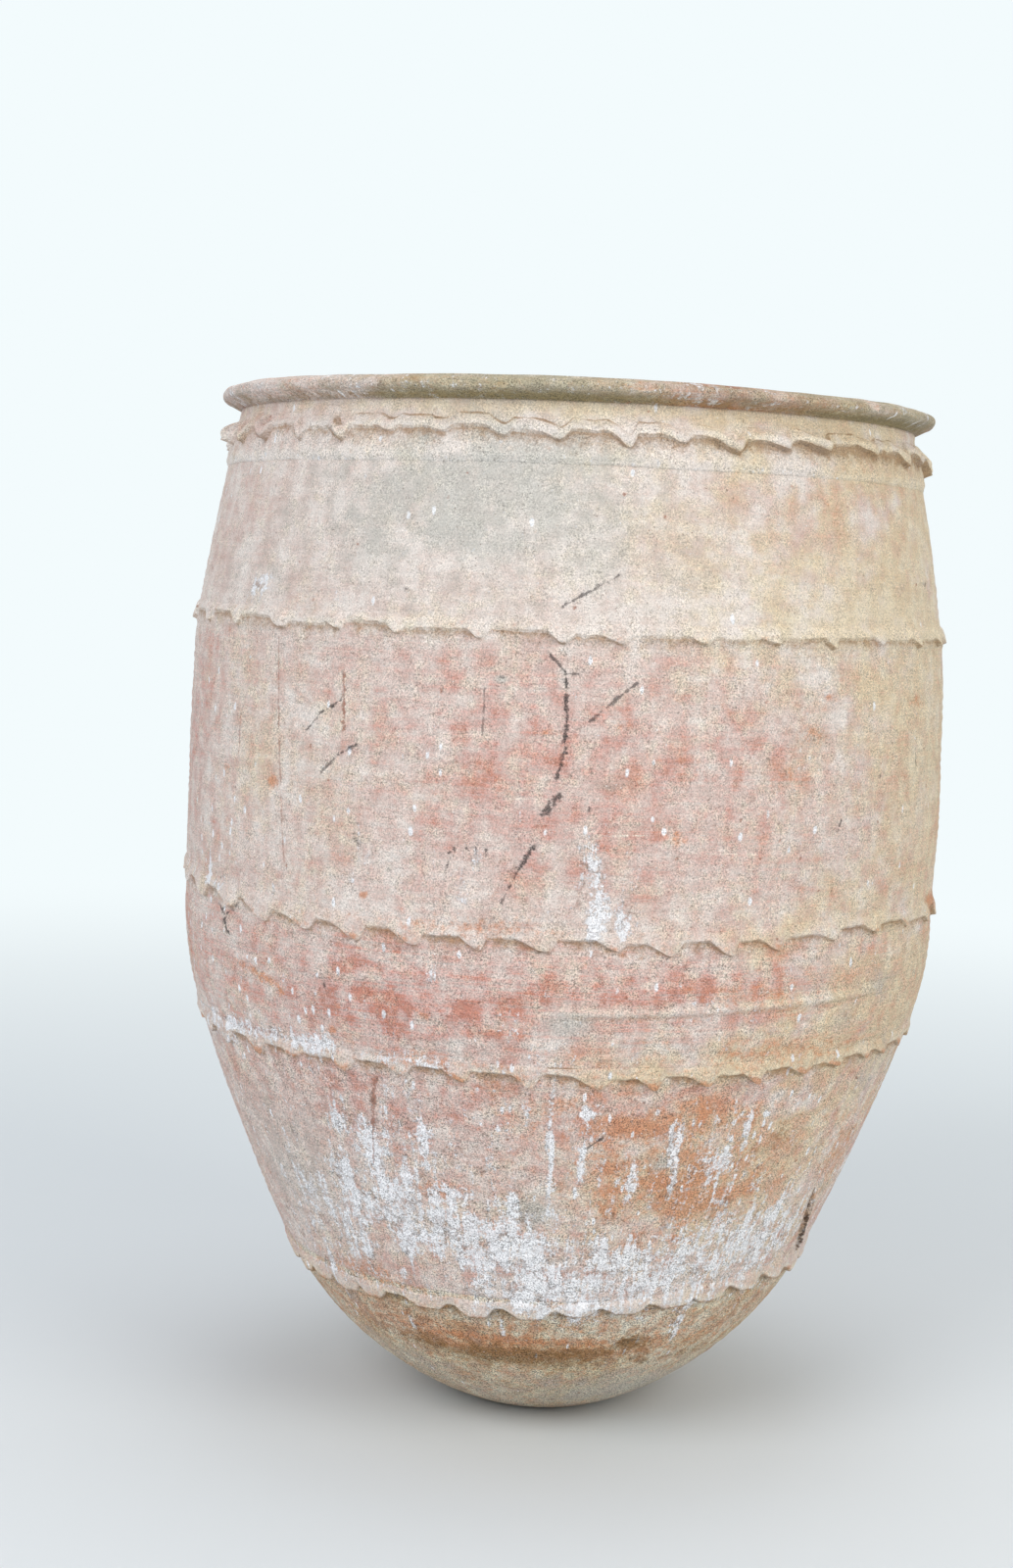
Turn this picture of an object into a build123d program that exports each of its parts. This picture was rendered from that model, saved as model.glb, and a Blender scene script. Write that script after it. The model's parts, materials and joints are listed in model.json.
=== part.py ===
# Greek pithos: a large open storage jar of coarse fired clay.
# It is built up in stages, as such jars are: a base slab, then one thick clay ring on top of
# another, each lapped over the one below, with a thumb-pressed band laid over every joint.
# Millimetres, +Z up, origin at the middle of the face that the jar stands on.

from build123d import *
import os
from math import degrees, atan2, pi
from typing import NamedTuple

# Heights of the stages, from the ground up
foot_bowl_height = 138.0
lower_wall_height = 199.0
hip_wall_height = 103.0
belly_wall_height = 223.0
shoulder_wall_height = 144.0
neck_ring_height = 27.0

# Outside radius at the belly joint, how far the other joints draw in from it, and the flat foot
belly_radius = 318.5
shoulder_draw_in = 4.0
neck_draw_in = 31.0
neck_taper = 5.5
hip_draw_in = 15.5
foot_draw_in = 94.5
base_radius = 66.0

# How far each stage swells out of the straight line between its two joints
foot_bowl_swell = 19.0
lower_wall_swell = 3.0
hip_wall_swell = 5.0
belly_wall_swell = 3.6
shoulder_wall_swell = 1.0

# Clay thickness, and the laps between the stages
wall = 22.0
floor_thickness = 26.0
base_ledge_height = 12.0
base_plateau_radius = 48.0
lap_height = 14.0
rim_lap_height = 8.0
slip_gap = 0.3

# Rolled rim: it leans out over the neck, has a rounded nose and a flat land on top
rim_overhang = 16.0
rim_undercut_height = 6.0
rim_nose_height = 9.0
rim_nose_bulge = 4.0
rim_crown_height = 2.5
rim_crown_width = 8.0
mouth_round = 5.0

# Flat strip round the neck joint, which carries the neck band
collar_above = 13.0
collar_below = 20.0
collar_thickness = 2.5

# Bands on the wall: reach above and below the joint, their lip, and the thumb presses under it
band_above = 13.0
band_below = 9.0
band_feather = 1.5
band_lip = 6.0
band_lip_height = 8.0
band_press_pitch = 50.0
band_press_radius = 18.0
band_press_depth = 6.0

# Band on the neck: a rope of clay pressed in turn from below and from above
neck_band_above = 11.0
neck_band_below = 10.0
neck_band_lip = 7.5
neck_band_lip_height = 13.0
neck_band_feather = 4.5
neck_band_press_pitch = 45.0
neck_band_press_radius = 15.0
neck_band_press_depth = 6.0


class Joint(NamedTuple):
    height: float
    radius: float
    lap: float


# Where the stages meet
hip_height = foot_bowl_height + lower_wall_height
belly_height = hip_height + hip_wall_height
shoulder_height = belly_height + belly_wall_height
neck_height = shoulder_height + shoulder_wall_height
neck_top = neck_height + neck_ring_height
neck_top_radius = belly_radius - neck_draw_in - neck_taper

foot_joint = Joint(foot_bowl_height, belly_radius - foot_draw_in, lap_height)
hip_joint = Joint(hip_height, belly_radius - hip_draw_in, lap_height)
belly_joint = Joint(belly_height, belly_radius, lap_height)
shoulder_joint = Joint(shoulder_height, belly_radius - shoulder_draw_in, lap_height)
neck_joint = Joint(neck_height, belly_radius - neck_draw_in, lap_height)
rim_joint = Joint(neck_top - rim_lap_height / 2, neck_top_radius, rim_lap_height)

rim_nose_bottom = neck_top + rim_undercut_height
rim_nose_top = rim_nose_bottom + rim_nose_height
rim_top = rim_nose_top + rim_crown_height
rim_nose_radius = neck_top_radius + rim_overhang - rim_nose_bulge
mouth_radius = neck_top_radius - wall

# Larger than the jar, for regions that only have to reach past it
beyond = rim_top + belly_radius


def side_curves(foot, inset, bowl_swell):
    """The side of the jar from foot to neck, moved inwards by inset: one curve for each stage."""
    joints = [foot_joint, hip_joint, belly_joint, shoulder_joint, neck_joint]
    knots = [foot] + [(joint.radius - inset, joint.height) for joint in joints]
    swells = [
        bowl_swell,
        lower_wall_swell,
        hip_wall_swell,
        belly_wall_swell,
        shoulder_wall_swell,
    ]
    with BuildLine():
        curves = [SagittaArc(low, high, -swell) for low, high, swell in zip(knots, knots[1:], swells)]
        curves.append(Line(knots[-1], (neck_top_radius - inset, neck_top)))
    return curves


# The inside of the bowl keeps the curve of the outside, over its own shorter span
outer_foot = Vector(base_radius, 0)
inner_foot = Vector(base_radius, floor_thickness)
outer_span = (Vector(foot_joint.radius, foot_joint.height) - outer_foot).length
inner_span = (Vector(foot_joint.radius - wall, foot_joint.height) - inner_foot).length
outer_side = side_curves(outer_foot, 0, foot_bowl_swell)
inner_side = side_curves(inner_foot, wall, foot_bowl_swell * (inner_span / outer_span) ** 2)

# Half sections, drawn flat with the radius across and the height up
with BuildSketch() as filled_jar:
    with BuildLine():
        add(outer_side)
        Polyline((neck_top_radius, neck_top), (0, neck_top), (0, 0), outer_foot)
    make_face()

with BuildSketch() as hollow:
    with BuildLine():
        add(inner_side)
        Polyline((mouth_radius, neck_top), (0, neck_top), (0, floor_thickness), inner_foot)
    make_face()

with BuildSketch() as rim_roll:
    with BuildLine():
        nose_foot = (rim_nose_radius, rim_nose_bottom)
        nose_head = (rim_nose_radius, rim_nose_top)
        Polyline((mouth_radius, rim_top), (mouth_radius, neck_top), (neck_top_radius, neck_top), nose_foot)
        SagittaArc(nose_foot, nose_head, -rim_nose_bulge)
        Polyline(nose_head, (rim_nose_radius - rim_crown_width, rim_top), (mouth_radius, rim_top))
    make_face()
    fillet(rim_roll.vertices().sort_by_distance((mouth_radius, rim_top))[0], mouth_round)

with BuildSketch() as jar_section:
    add(filled_jar.sketch)
    add(hollow.sketch, mode=Mode.SUBTRACT)
    add(rim_roll.sketch)


def under_step(step_radius, inner_height, outer_height):
    """Everything below a stepped line: one height inside the step's radius, another outside it."""
    with BuildSketch() as region:
        with BuildLine():
            Polyline(
                (0, -beyond),
                (beyond, -beyond),
                (beyond, outer_height),
                (step_radius, outer_height),
                (step_radius, inner_height),
                (0, inner_height),
                close=True,
            )
        make_face()
    return region.sketch


def under_joint(joint, gap_share):
    """Everything below a lapped joint, with the step moved by a share of the slip gap."""
    step_radius = joint.radius - wall / 2 + gap_share * slip_gap
    return under_step(step_radius, joint.height - joint.lap / 2, joint.height + joint.lap / 2)


def clay_ring(keep_under, cut_under):
    """One stage of the jar: what lies under its upper joint and not under its lower one."""
    with BuildPart() as ring:
        with BuildSketch(Plane.XZ):
            add(jar_section.sketch)
            if keep_under:
                add(keep_under, mode=Mode.INTERSECT)
            if cut_under:
                add(cut_under, mode=Mode.SUBTRACT)
        revolve(axis=Axis.Z)
    return ring


# Lower stages keep the outer half of each lap, and the stage above hangs inside it
low_half = 0.5
high_half = -0.5
base_top = under_step(base_plateau_radius, floor_thickness, base_ledge_height)
base_seat = under_step(base_plateau_radius + slip_gap, floor_thickness, base_ledge_height)

pieces = {
    "base_disc": clay_ring(base_top, None),
    "foot_bowl": clay_ring(under_joint(foot_joint, low_half), base_seat),
    "rim": clay_ring(None, under_joint(rim_joint, high_half)),
}
stages = [
    ("lower_wall", foot_joint, hip_joint),
    ("hip_wall", hip_joint, belly_joint),
    ("belly_wall", belly_joint, shoulder_joint),
    ("shoulder_wall", shoulder_joint, neck_joint),
    ("neck_ring", neck_joint, rim_joint),
]
for name, low_joint, high_joint in stages:
    pieces[name] = clay_ring(under_joint(high_joint, low_half), under_joint(low_joint, high_half))


class Slope:
    """The wall's outer face at a joint: places measured up along it and out from it."""

    def __init__(self, joint, below, above):
        self.foot = Vector(joint.radius, joint.height)
        self.up = (below % 1 + above % 0).normalized()
        self.out = Vector(self.up.Y, -self.up.X)
        self.lean = degrees(atan2(self.up.X, self.up.Y))

    def at(self, up, out):
        return self.foot + self.up * up + self.out * out


foot_slope, hip_slope, belly_slope, shoulder_slope, neck_slope = (
    Slope(joint, below, above)
    for joint, below, above in zip(
        [foot_joint, hip_joint, belly_joint, shoulder_joint, neck_joint], outer_side, outer_side[1:]
    )
)

# The flat strip round the neck
with BuildSketch() as collar_section:
    with BuildLine():
        Polyline(
            neck_slope.at(-collar_below, -wall / 2),
            neck_slope.at(-collar_below, collar_thickness),
            neck_slope.at(collar_above, collar_thickness),
            neck_slope.at(collar_above, -wall / 2),
            close=True,
        )
    make_face()
    add(filled_jar.sketch, mode=Mode.SUBTRACT)

with BuildPart() as collar_strip:
    with BuildSketch(Plane.XZ):
        add(collar_section.sketch)
    revolve(axis=Axis.Z)
pieces["collar_strip"] = collar_strip


def band_section(slope, above, below, feather, lip, lip_height):
    """A strip of clay smeared into the wall along its top, with a thick lip along its bottom."""
    with BuildSketch() as strip:
        with BuildLine():
            Polyline(
                slope.at(above, -wall / 2),
                slope.at(above, feather),
                slope.at(lip_height - below, lip),
                slope.at(-below, lip),
                slope.at(-below, -wall / 2),
                close=True,
            )
        make_face()
        add(filled_jar.sketch, mode=Mode.SUBTRACT)
    return strip.sketch


def press_thumbs(slope, centre_up, radius, pitch, reach, half_step):
    """Round presses into a band's edge, all the way round, at an even pitch."""
    centre = slope.at(centre_up, 0)
    count = round(2 * pi * slope.foot.X / pitch)
    with Locations((0, 0, centre.Y)):
        with PolarLocations(centre.X, count, start_angle=half_step * 360 / count):
            Cylinder(radius, reach, rotation=(0, 90 + slope.lean, 0), mode=Mode.SUBTRACT)


wall_bands = {
    "foot_band": foot_slope,
    "hip_band": hip_slope,
    "belly_band": belly_slope,
    "shoulder_band": shoulder_slope,
}
for name, slope in wall_bands.items():
    with BuildPart() as band:
        with BuildSketch(Plane.XZ):
            add(band_section(slope, band_above, band_below, band_feather, band_lip, band_lip_height))
        revolve(axis=Axis.Z)
        press_centre = band_press_depth - band_press_radius - band_below
        press_thumbs(slope, press_centre, band_press_radius, band_press_pitch, 4 * band_lip, 0)
    pieces[name] = band

with BuildPart() as neck_band:
    with BuildSketch(Plane.XZ):
        add(
            band_section(
                neck_slope,
                neck_band_above,
                neck_band_below,
                neck_band_feather,
                neck_band_lip,
                neck_band_lip_height,
            )
        )
        add(collar_section.sketch, mode=Mode.SUBTRACT)
    revolve(axis=Axis.Z)
    press_offset = neck_band_press_radius - neck_band_press_depth
    for centre_up, half_step in ((-neck_band_below - press_offset, 0), (neck_band_above + press_offset, 0.5)):
        press_thumbs(
            neck_slope, centre_up, neck_band_press_radius, neck_band_press_pitch, 4 * neck_band_lip, half_step
        )
pieces["neck_band"] = neck_band

os.makedirs("parts", exist_ok=True)
for name, piece in pieces.items():
    piece.part.label = name
    export_step(piece.part, f"parts/{name}.step")
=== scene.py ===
import bmesh
import bpy
import json
import math
import numpy as np
from mathutils import Matrix, Vector
from mathutils.bvhtree import BVHTree


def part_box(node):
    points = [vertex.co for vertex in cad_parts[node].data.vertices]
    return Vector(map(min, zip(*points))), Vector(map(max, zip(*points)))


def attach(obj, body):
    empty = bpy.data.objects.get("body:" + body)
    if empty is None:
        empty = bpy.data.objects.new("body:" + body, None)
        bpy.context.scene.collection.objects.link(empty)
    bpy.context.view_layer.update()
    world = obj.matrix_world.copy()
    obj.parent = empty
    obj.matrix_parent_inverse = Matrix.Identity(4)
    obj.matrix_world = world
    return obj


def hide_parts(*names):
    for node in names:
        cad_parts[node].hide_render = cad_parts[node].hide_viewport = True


# A big storage jar of coarse clay. Angles run from the front (-Y), plus to the right.
# Radii and heights are in mm until they go into a mesh.
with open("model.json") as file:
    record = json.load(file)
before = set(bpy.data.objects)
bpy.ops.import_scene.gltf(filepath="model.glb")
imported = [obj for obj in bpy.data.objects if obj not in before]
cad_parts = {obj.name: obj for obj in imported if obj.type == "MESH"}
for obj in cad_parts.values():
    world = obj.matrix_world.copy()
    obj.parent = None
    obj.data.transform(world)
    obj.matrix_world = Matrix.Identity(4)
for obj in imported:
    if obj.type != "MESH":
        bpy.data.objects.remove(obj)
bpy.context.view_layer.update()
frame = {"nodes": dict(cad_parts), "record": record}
nodes = frame["nodes"]
mm = 0.001
meanRadius = 300
spotRadius = 318.0
print("frame loaded:", len(nodes), "clay pieces")


# small helpers for the shapes
def smooth(value):
    value = np.clip(value, 0, 1)
    return value * value * (3 - 2 * value)


def hump(value):
    return np.exp(-value * value)


def turnGap(degrees, centre):
    return (degrees - centre + 180) % 360 - 180


def makeNoise(seed):
    draw = np.random.default_rng(seed)
    slopes = draw.normal(size=(256, 3))
    slopes /= np.linalg.norm(slopes, axis=1)[:, None]
    return draw.permutation(256), slopes


def gradientNoise(points, noise):
    order, slopes = noise
    cell = np.floor(points).astype(int)
    part = points - cell
    fade = part ** 3 * (part * (part * 6 - 15) + 10)
    total = np.zeros(len(points))
    for corner in np.ndindex(2, 2, 2):
        key = order[(cell[:, 0] + corner[0]) & 255]
        key = order[(key + cell[:, 1] + corner[1]) & 255]
        key = order[(key + cell[:, 2] + corner[2]) & 255]
        share = np.prod(np.where(corner, fade, 1 - fade), axis=1)
        total += share * np.einsum("ij,ij->i", slopes[key], part - np.array(corner))
    return total * 1.5


def lumps(degrees, height, across, upright, noise):
    # lumps that follow the wall: even round the jar, so many mm wide and tall
    turn = np.radians(degrees)
    side = np.sin(turn) * meanRadius / across
    front = np.cos(turn) * meanRadius / across
    return gradientNoise(np.stack([side, front, height / upright], axis=1), noise)


def knotLine(degrees, knots):
    places = np.array([knot[0] for knot in knots], float)
    values = np.array([knot[1] for knot in knots], float)
    return np.interp(degrees, places, values, period=360)


# the wall as the CAD has it
wallNames = [
    "base_disc", "foot_bowl", "lower_wall", "hip_wall", "belly_wall", "shoulder_wall", "neck_ring", "rim",
]
probe = {"rays": 900, "margin": 0.0004, "aside": 0.00005}


def measureWall():
    # level rays through the CAD pieces, a hair beside the seam of their meshes
    clay = bmesh.new()
    for name in wallNames:
        clay.from_mesh(nodes[name].data)
    tree = BVHTree.FromBMesh(clay)
    clay.free()
    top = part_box("rim")[1].z
    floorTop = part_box("base_disc")[1].z
    heights = np.linspace(probe["margin"], top - probe["margin"], probe["rays"])
    outer = []
    inner = []
    for height in heights:
        hit = tree.ray_cast(Vector((1, probe["aside"], height)), Vector((-1, 0, 0)))[0]
        outer.append(hit.x)
        hit = tree.ray_cast(Vector((0, probe["aside"], height)), Vector((1, 0, 0)))[0]
        inner.append(hit.x if height > floorTop else 0)
    return heights / mm, np.array(outer) / mm, np.array(inner) / mm


wallHeights, wallOuter, wallInner = measureWall()
wallLean = np.degrees(np.arctan(np.gradient(wallOuter, wallHeights)))
print("wall measured: belly", round(wallOuter.max() * 2), "mm across")


def outerRadius(height):
    return np.interp(height, wallHeights, wallOuter)


def innerRadius(height):
    return np.interp(height, wallHeights, wallInner)


# hand-made unevenness of the wall
wallShape = {
    "outOfRound": 1.1,
    "twist": 420,
    "sway": 0.7,
    "swayTwist": 190,
    "throwRidge": 0.34,
    "throwPitch": 9.0,
    "throwPatch": (160, 45),
    "throwWander": (120, 30),
    "fineLine": (210, 3.2),
    "lump": 0.75,
    "lumpSize": (75, 60),
    "dimple": 0.3,
    "dimpleSize": (24, 15),
    "ridges": [
        # height at left and right, from and to in degrees, how proud, half height
        (388, 397, -4, 56, 2.1, 2.8),
        (371, 375, 2, 48, 0.7, 2.2),
        (402, 404, -60, -18, 0.6, 2.5),
        (560, 556, -70, -25, 0.5, 3.0),
        (300, 304, 10, 60, 0.6, 2.5),
        (745, 742, -40, 30, 0.4, 3.0),
    ],
    "ridgeFade": 0.12,
    # degrees, height, half width in degrees, half height, push
    "slack": [(-88, 530, 40, 130, -4.0)],
    "crack": {
        "top": (56.6, 221), "bottom": (66.2, 148), "lift": 3.6, "reach": 26.0, "decay": 2.2, "sink": 0.9,
        "topFade": 0.2, "bottomFade": 0.25,
    },
    "footFade": 40,
    "seed": 11,
}
insideShape = {"lump": 1.4, "lumpSize": (70, 55), "outOfRound": 0.8, "twist": 300, "ridge": 0.7, "pitch": 17}
skirtShape = {"near": 40, "drop": 1.5, "wander": 1.5, "edge": 1.8, "past": 4, "runOut": 8}
wobbleNoise = makeNoise(wallShape["seed"])
lumpNoise = makeNoise(wallShape["seed"] + 1)
lineNoise = makeNoise(wallShape["seed"] + 2)


def crackSide(degrees, height):
    # mm to the right of the crack, and how far along its length
    crack = wallShape["crack"]
    along = (crack["top"][1] - height) / (crack["top"][1] - crack["bottom"][1])
    centre = crack["top"][0] + (crack["bottom"][0] - crack["top"][0]) * along
    centre = centre + 0.3 * np.sin(along * 9) - 1.2 * np.sin(np.pi * np.clip(along, 0, 1))
    right = np.radians(turnGap(degrees, centre)) * outerRadius(height)
    return right, along


def crackRelief(degrees, height):
    # clay lifted to the right of the crack, a sunk edge to its left
    crack = wallShape["crack"]
    right, along = crackSide(degrees, height)
    ends = smooth(along / crack["topFade"]) * smooth((1 - along) / crack["bottomFade"])
    fall = np.exp(-np.clip(right, 0, None) / crack["reach"] * crack["decay"])
    lifted = crack["lift"] * ends * fall * (right > 0)
    sunk = -crack["sink"] * ends * hump((right + 1.5) / 2.4) * (right <= 0)
    return lifted + sunk


def ridgeLine(ridge, degrees):
    # height of a raised line, and how proud it is, fading at both ends
    left, right, start, end, proud, _ = ridge
    fade = wallShape["ridgeFade"]
    share = turnGap(degrees, (start + end) / 2) / (end - start) + 0.5
    centre = left + (right - left) * np.clip(share, 0, 1)
    return centre, proud * (smooth(share / fade) * smooth((1 - share) / fade))


def bandSkirt(degrees, height, up, band):
    # thin clay smeared on the wall round a band's lip, worn here and there
    shape = skirtShape
    wander = shape["wander"] * lumps(degrees, height, 50, 400, wobbleNoise)
    foot = knotLine(degrees, band["low"]) - shape["drop"] + wander
    worn = np.clip(0.55 + 0.9 * lumps(degrees, height, 60, 300, lumpNoise), 0.1, 1)
    runOut = smooth((up - foot - band["dip"] - shape["past"]) / shape["runOut"])
    return band["skirt"] * worn * (smooth((up - foot) / shape["edge"]) * (1 - runOut))


def outerOffset(degrees, height):
    shape = wallShape
    turn = np.radians(degrees)
    offset = shape["outOfRound"] * np.cos(2 * turn + 0.9 + height / shape["twist"])
    offset += shape["sway"] * np.cos(3 * turn - height / shape["swayTwist"])
    offset += shape["lump"] * lumps(degrees, height, *shape["lumpSize"], wobbleNoise)
    offset += shape["dimple"] * lumps(degrees, height, *shape["dimpleSize"], lumpNoise)
    for place, centre, wide, tall, push in shape["slack"]:
        offset += push * hump(turnGap(degrees, place) / wide) * hump((height - centre) / tall)
    strength = 0.55 + 0.9 * lumps(degrees, height, *shape["throwPatch"], lineNoise)
    wander = 1.6 * lumps(degrees, height, *shape["throwWander"], lumpNoise)
    phase = height / shape["throwPitch"] + turn / (2 * np.pi) + wander
    offset += shape["throwRidge"] * np.clip(strength, 0, 1.2) * np.sin(2 * np.pi * phase)
    offset += 0.5 * shape["throwRidge"] * lumps(degrees, height, *shape["fineLine"], lineNoise)
    for ridge in shape["ridges"]:
        centre, proud = ridgeLine(ridge, degrees)
        offset += proud * hump((height - centre) / ridge[-1])
    for band in bandShape.values():
        up = (height - band["joint"]) / math.cos(band["lean"])
        near = np.abs(up) < skirtShape["near"]
        if "skirt" in band and near.any():
            offset[near] += bandSkirt(degrees[near], height[near], up[near], band)
    offset += crackRelief(degrees, height)
    return offset * smooth(height / shape["footFade"])


def innerOffset(degrees, height):
    shape = insideShape
    turn = np.radians(degrees)
    offset = shape["lump"] * lumps(degrees, height, *shape["lumpSize"], lumpNoise)
    offset += shape["outOfRound"] * np.cos(2 * turn + height / shape["twist"])
    offset += shape["ridge"] * np.sin(2 * np.pi * (height / shape["pitch"] + turn / (2 * np.pi)))
    return offset * smooth((height - 20) / 50)


def shapeWall(degrees, radius, height):
    outer = outerRadius(height)
    inner = innerRadius(height)
    share = np.clip((radius - inner) / np.maximum(outer - inner, 1), 0, 1)
    return radius + share * outerOffset(degrees, height) + (1 - share) * innerOffset(degrees, height)


# pressed bands: a belt of clay smeared into the wall, its lip drawn down into tongues
# front has the tongues' places in degrees, low the lip's lowest line above the joint,
# slant the length of a tongue's left side
plainBand = {"rightEdge": 1.0, "plump": 1.0, "bow": 1.0, "shade": 1.0, "calm": []}
bandShape = {
    "shoulder_band": {
        "between": ("belly_wall", "shoulder_wall"),
        "front": [
            -66.6, -55.5, -44.4, -34.1, -24.7, -13.2, -1.9, 5.8, 17.2, 28.3, 37.8, 48.6, 59.4, 70.3,
        ],
        "low": [(-75, -4), (-35, -6), (0, -5.5), (30, -4), (60, -2), (120, -4), (180, -5)],
        "pitch": 10.4, "dip": 9.5, "reach": 8.0, "slant": [(0, 13)], "thin": 2.1, "thick": 4.2,
        "skirt": 0.9, "smear": [(0, 0.45)], "dirtAndShade": [(0, 0.85)], "rusty": 0.15, "pale": 0.22,
        "yellow": 0.08, "outline": 0.2, "shade": 1.3, "seed": 21,
    },
    "belly_band": {
        "between": ("hip_wall", "belly_wall"),
        "front": [
            -73.2, -63, -54, -45.5, -37.2, -28.9, -20.1, -11.3, -2.4, 6.7, 14.2, 22.8, 30.3, 40.3, 49.6,
            59.2, 69.5,
        ],
        "low": [
            (-75, 3), (-37, -8), (-20, -10), (7, -8.5), (23, -7.5), (40, -3), (70, -4.5), (130, -6),
            (200, -4),
        ],
        "pitch": 9.0, "dip": 11.5, "reach": 8.0, "slant": [(-40, 26), (0, 17), (60, 15), (180, 16)],
        "thin": 2.0, "thick": 4.0, "skirt": 0.9, "smear": [(-60, 0.35), (-20, 0.55), (10, 0.75)],
        "dirtAndShade": [(-60, 0.95), (-20, 0.95), (10, 0.95), (70, 0.85), (180, 0.8)], "rusty": 0.4,
        "pale": 0.22, "yellow": 0.05, "outline": 0.3, "seed": 22,
    },
    "hip_band": {
        "between": ("lower_wall", "hip_wall"),
        "front": [
            -76, -67, -59.7, -50, -41.8, -32, -22.5, -13.6, -4, 5.7, 13.7, 21.8, 29.8, 38.6, 45.9, 53.5,
            59.7, 68, 76,
        ],
        "low": [
            (-76, -11), (-59, -14), (-42, -11), (-20, -9), (10, -7), (45, -4), (60, -3), (76, -4),
            (180, -7),
        ],
        "pitch": 9.4, "dip": 10.5, "reach": 8.0, "slant": [(0, 16)], "thin": 2.0, "thick": 4.0,
        "skirt": 0.9, "smear": [(-50, 0.45), (10, 0.65)], "dirtAndShade": [(0, 1.0)], "rusty": 0.85,
        "pale": 0.35, "yellow": 0.1, "outline": 0.5, "seed": 23,
    },
    "foot_band": {
        "between": ("foot_bowl", "lower_wall"),
        "front": [
            -70.5, -62, -54, -46.5, -38.1, -24.5, -14, -2.3, 6.8, 17.5, 27.5, 36, 46.8, 56.8, 66, 74,
        ],
        "low": [
            (-75, -16), (-54, -15), (-25, -15.5), (-2, -12), (17, -7), (33, -2), (47, 2), (70, 0),
            (180, -7),
        ],
        "pitch": 11.0, "dip": 10.0, "reach": 8.0, "slant": [(0, 20)], "plump": 1.7, "rightEdge": 1.9,
        "thin": 1.7, "thick": 4.4, "skirt": 0.9, "smear": [(0, 0.25)], "dirtAndShade": [(0, 1.2)], "rusty": 0.3,
        "pale": 0.6, "yellow": 0.05, "outline": 1.0, "seed": 24,
    },
    "neck_band": {
        "between": ("shoulder_wall", "neck_ring"),
        "front": [
            -82.3, -74, -66.7, -57.5, -47.5, -38.5, -30.2, -21, -12, -3.7, 6.4, 14.4, 22.8, 31.7, 39.3,
            51.2, 63.1, 71.7,
        ],
        "low": [(-82, -6), (-40, -7), (0, -8), (35, -7), (72, -7), (180, -7)], "pitch": 9.2, "dip": 13.0,
        "reach": 4.5, "roll": 10.5, "bow": 1.7,
        "slant": [(-80, 9), (-30, 13), (0, 18), (45, 27), (75, 18), (180, 16)], "thin": 2.6,
        "thick": 7.5, "smear": [(0, 0.05)],
        "bulk": [
            (-80, 1.35), (-50, 1.3), (-38, 1.05), (-25, 0.65), (5, 0.6), (28, 1.05), (50, 1.3),
            (75, 1.2), (180, 1.0),
        ],
        "dirtAndShade": [
            (-80, 0.75), (-45, 0.75), (-30, 0.9), (0, 1.0), (30, 1.2), (50, 1.3), (75, 1.1), (180, 0.8),
        ],
        "topDirt": [
            (-50, 0.1), (-32, 0.9), (-8, 0.95), (8, 0.6), (20, 0.2), (45, 0.7), (75, 0.5), (180, 0.5),
        ],
        "rusty": 0.1, "pale": 0.32, "yellow": 0.05, "outline": 0.4, "shade": 1.2, "seed": 25,
        "calm": [(-19, 9, 0.35), (14.4, 3.5, 0.55), (-30.2, 3.5, 0.6), (51, 4, 0.6)],
    },
}


# how much one tongue differs from the next
tongueSpread = {
    "jitter": (-0.22, 0.22), "size": (0.5, 1.1), "left": (0.7, 1.35), "right": (5.0, 10.0),
    "thick": (0.55, 1.15), "arch": (-3.0, 2.0), "smear": (-0.4, 0.3), "mostSmear": 0.95,
}


def layTongues(shape):
    # measured places in front, then on round the back with some jitter
    spread = tongueSpread
    draw = np.random.default_rng(shape["seed"])
    places = list(shape["front"])
    gap = 360 - (places[-1] - places[0])
    steps = round(gap / shape["pitch"])
    for index in range(1, steps):
        places.append(shape["front"][-1] + gap * (index + draw.uniform(*spread["jitter"])) / steps)
    places = np.array(places)
    count = len(places)
    tongues = {
        "places": places,
        "size": draw.uniform(*spread["size"], count),
        "left": knotLine(places, shape["slant"]) * draw.uniform(*spread["left"], count),
        "right": draw.uniform(*spread["right"], count) * shape["rightEdge"],
        "thick": draw.uniform(*spread["thick"], count),
        "arch": draw.uniform(*spread["arch"], count),
    }
    smear = knotLine(places, shape["smear"]) + draw.uniform(*spread["smear"], count)
    tongues["smear"] = np.clip(smear, 0, spread["mostSmear"])
    return tongues


def softMin(first, second, blend):
    part = np.clip(blend - np.abs(first - second), 0, None) / blend
    return np.minimum(first, second) - part * part * blend / 4


# how steep and how soft the sides of a tongue are, and how rough the lip is
lipShape = {
    "leftSteep": 1.15, "rightSteep": 1.4, "edgeBlend": 0.5, "crownBlend": 0.3, "bodyBlend": 0.6,
    "rough": 1.1, "fineRough": 0.7,
}


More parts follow.
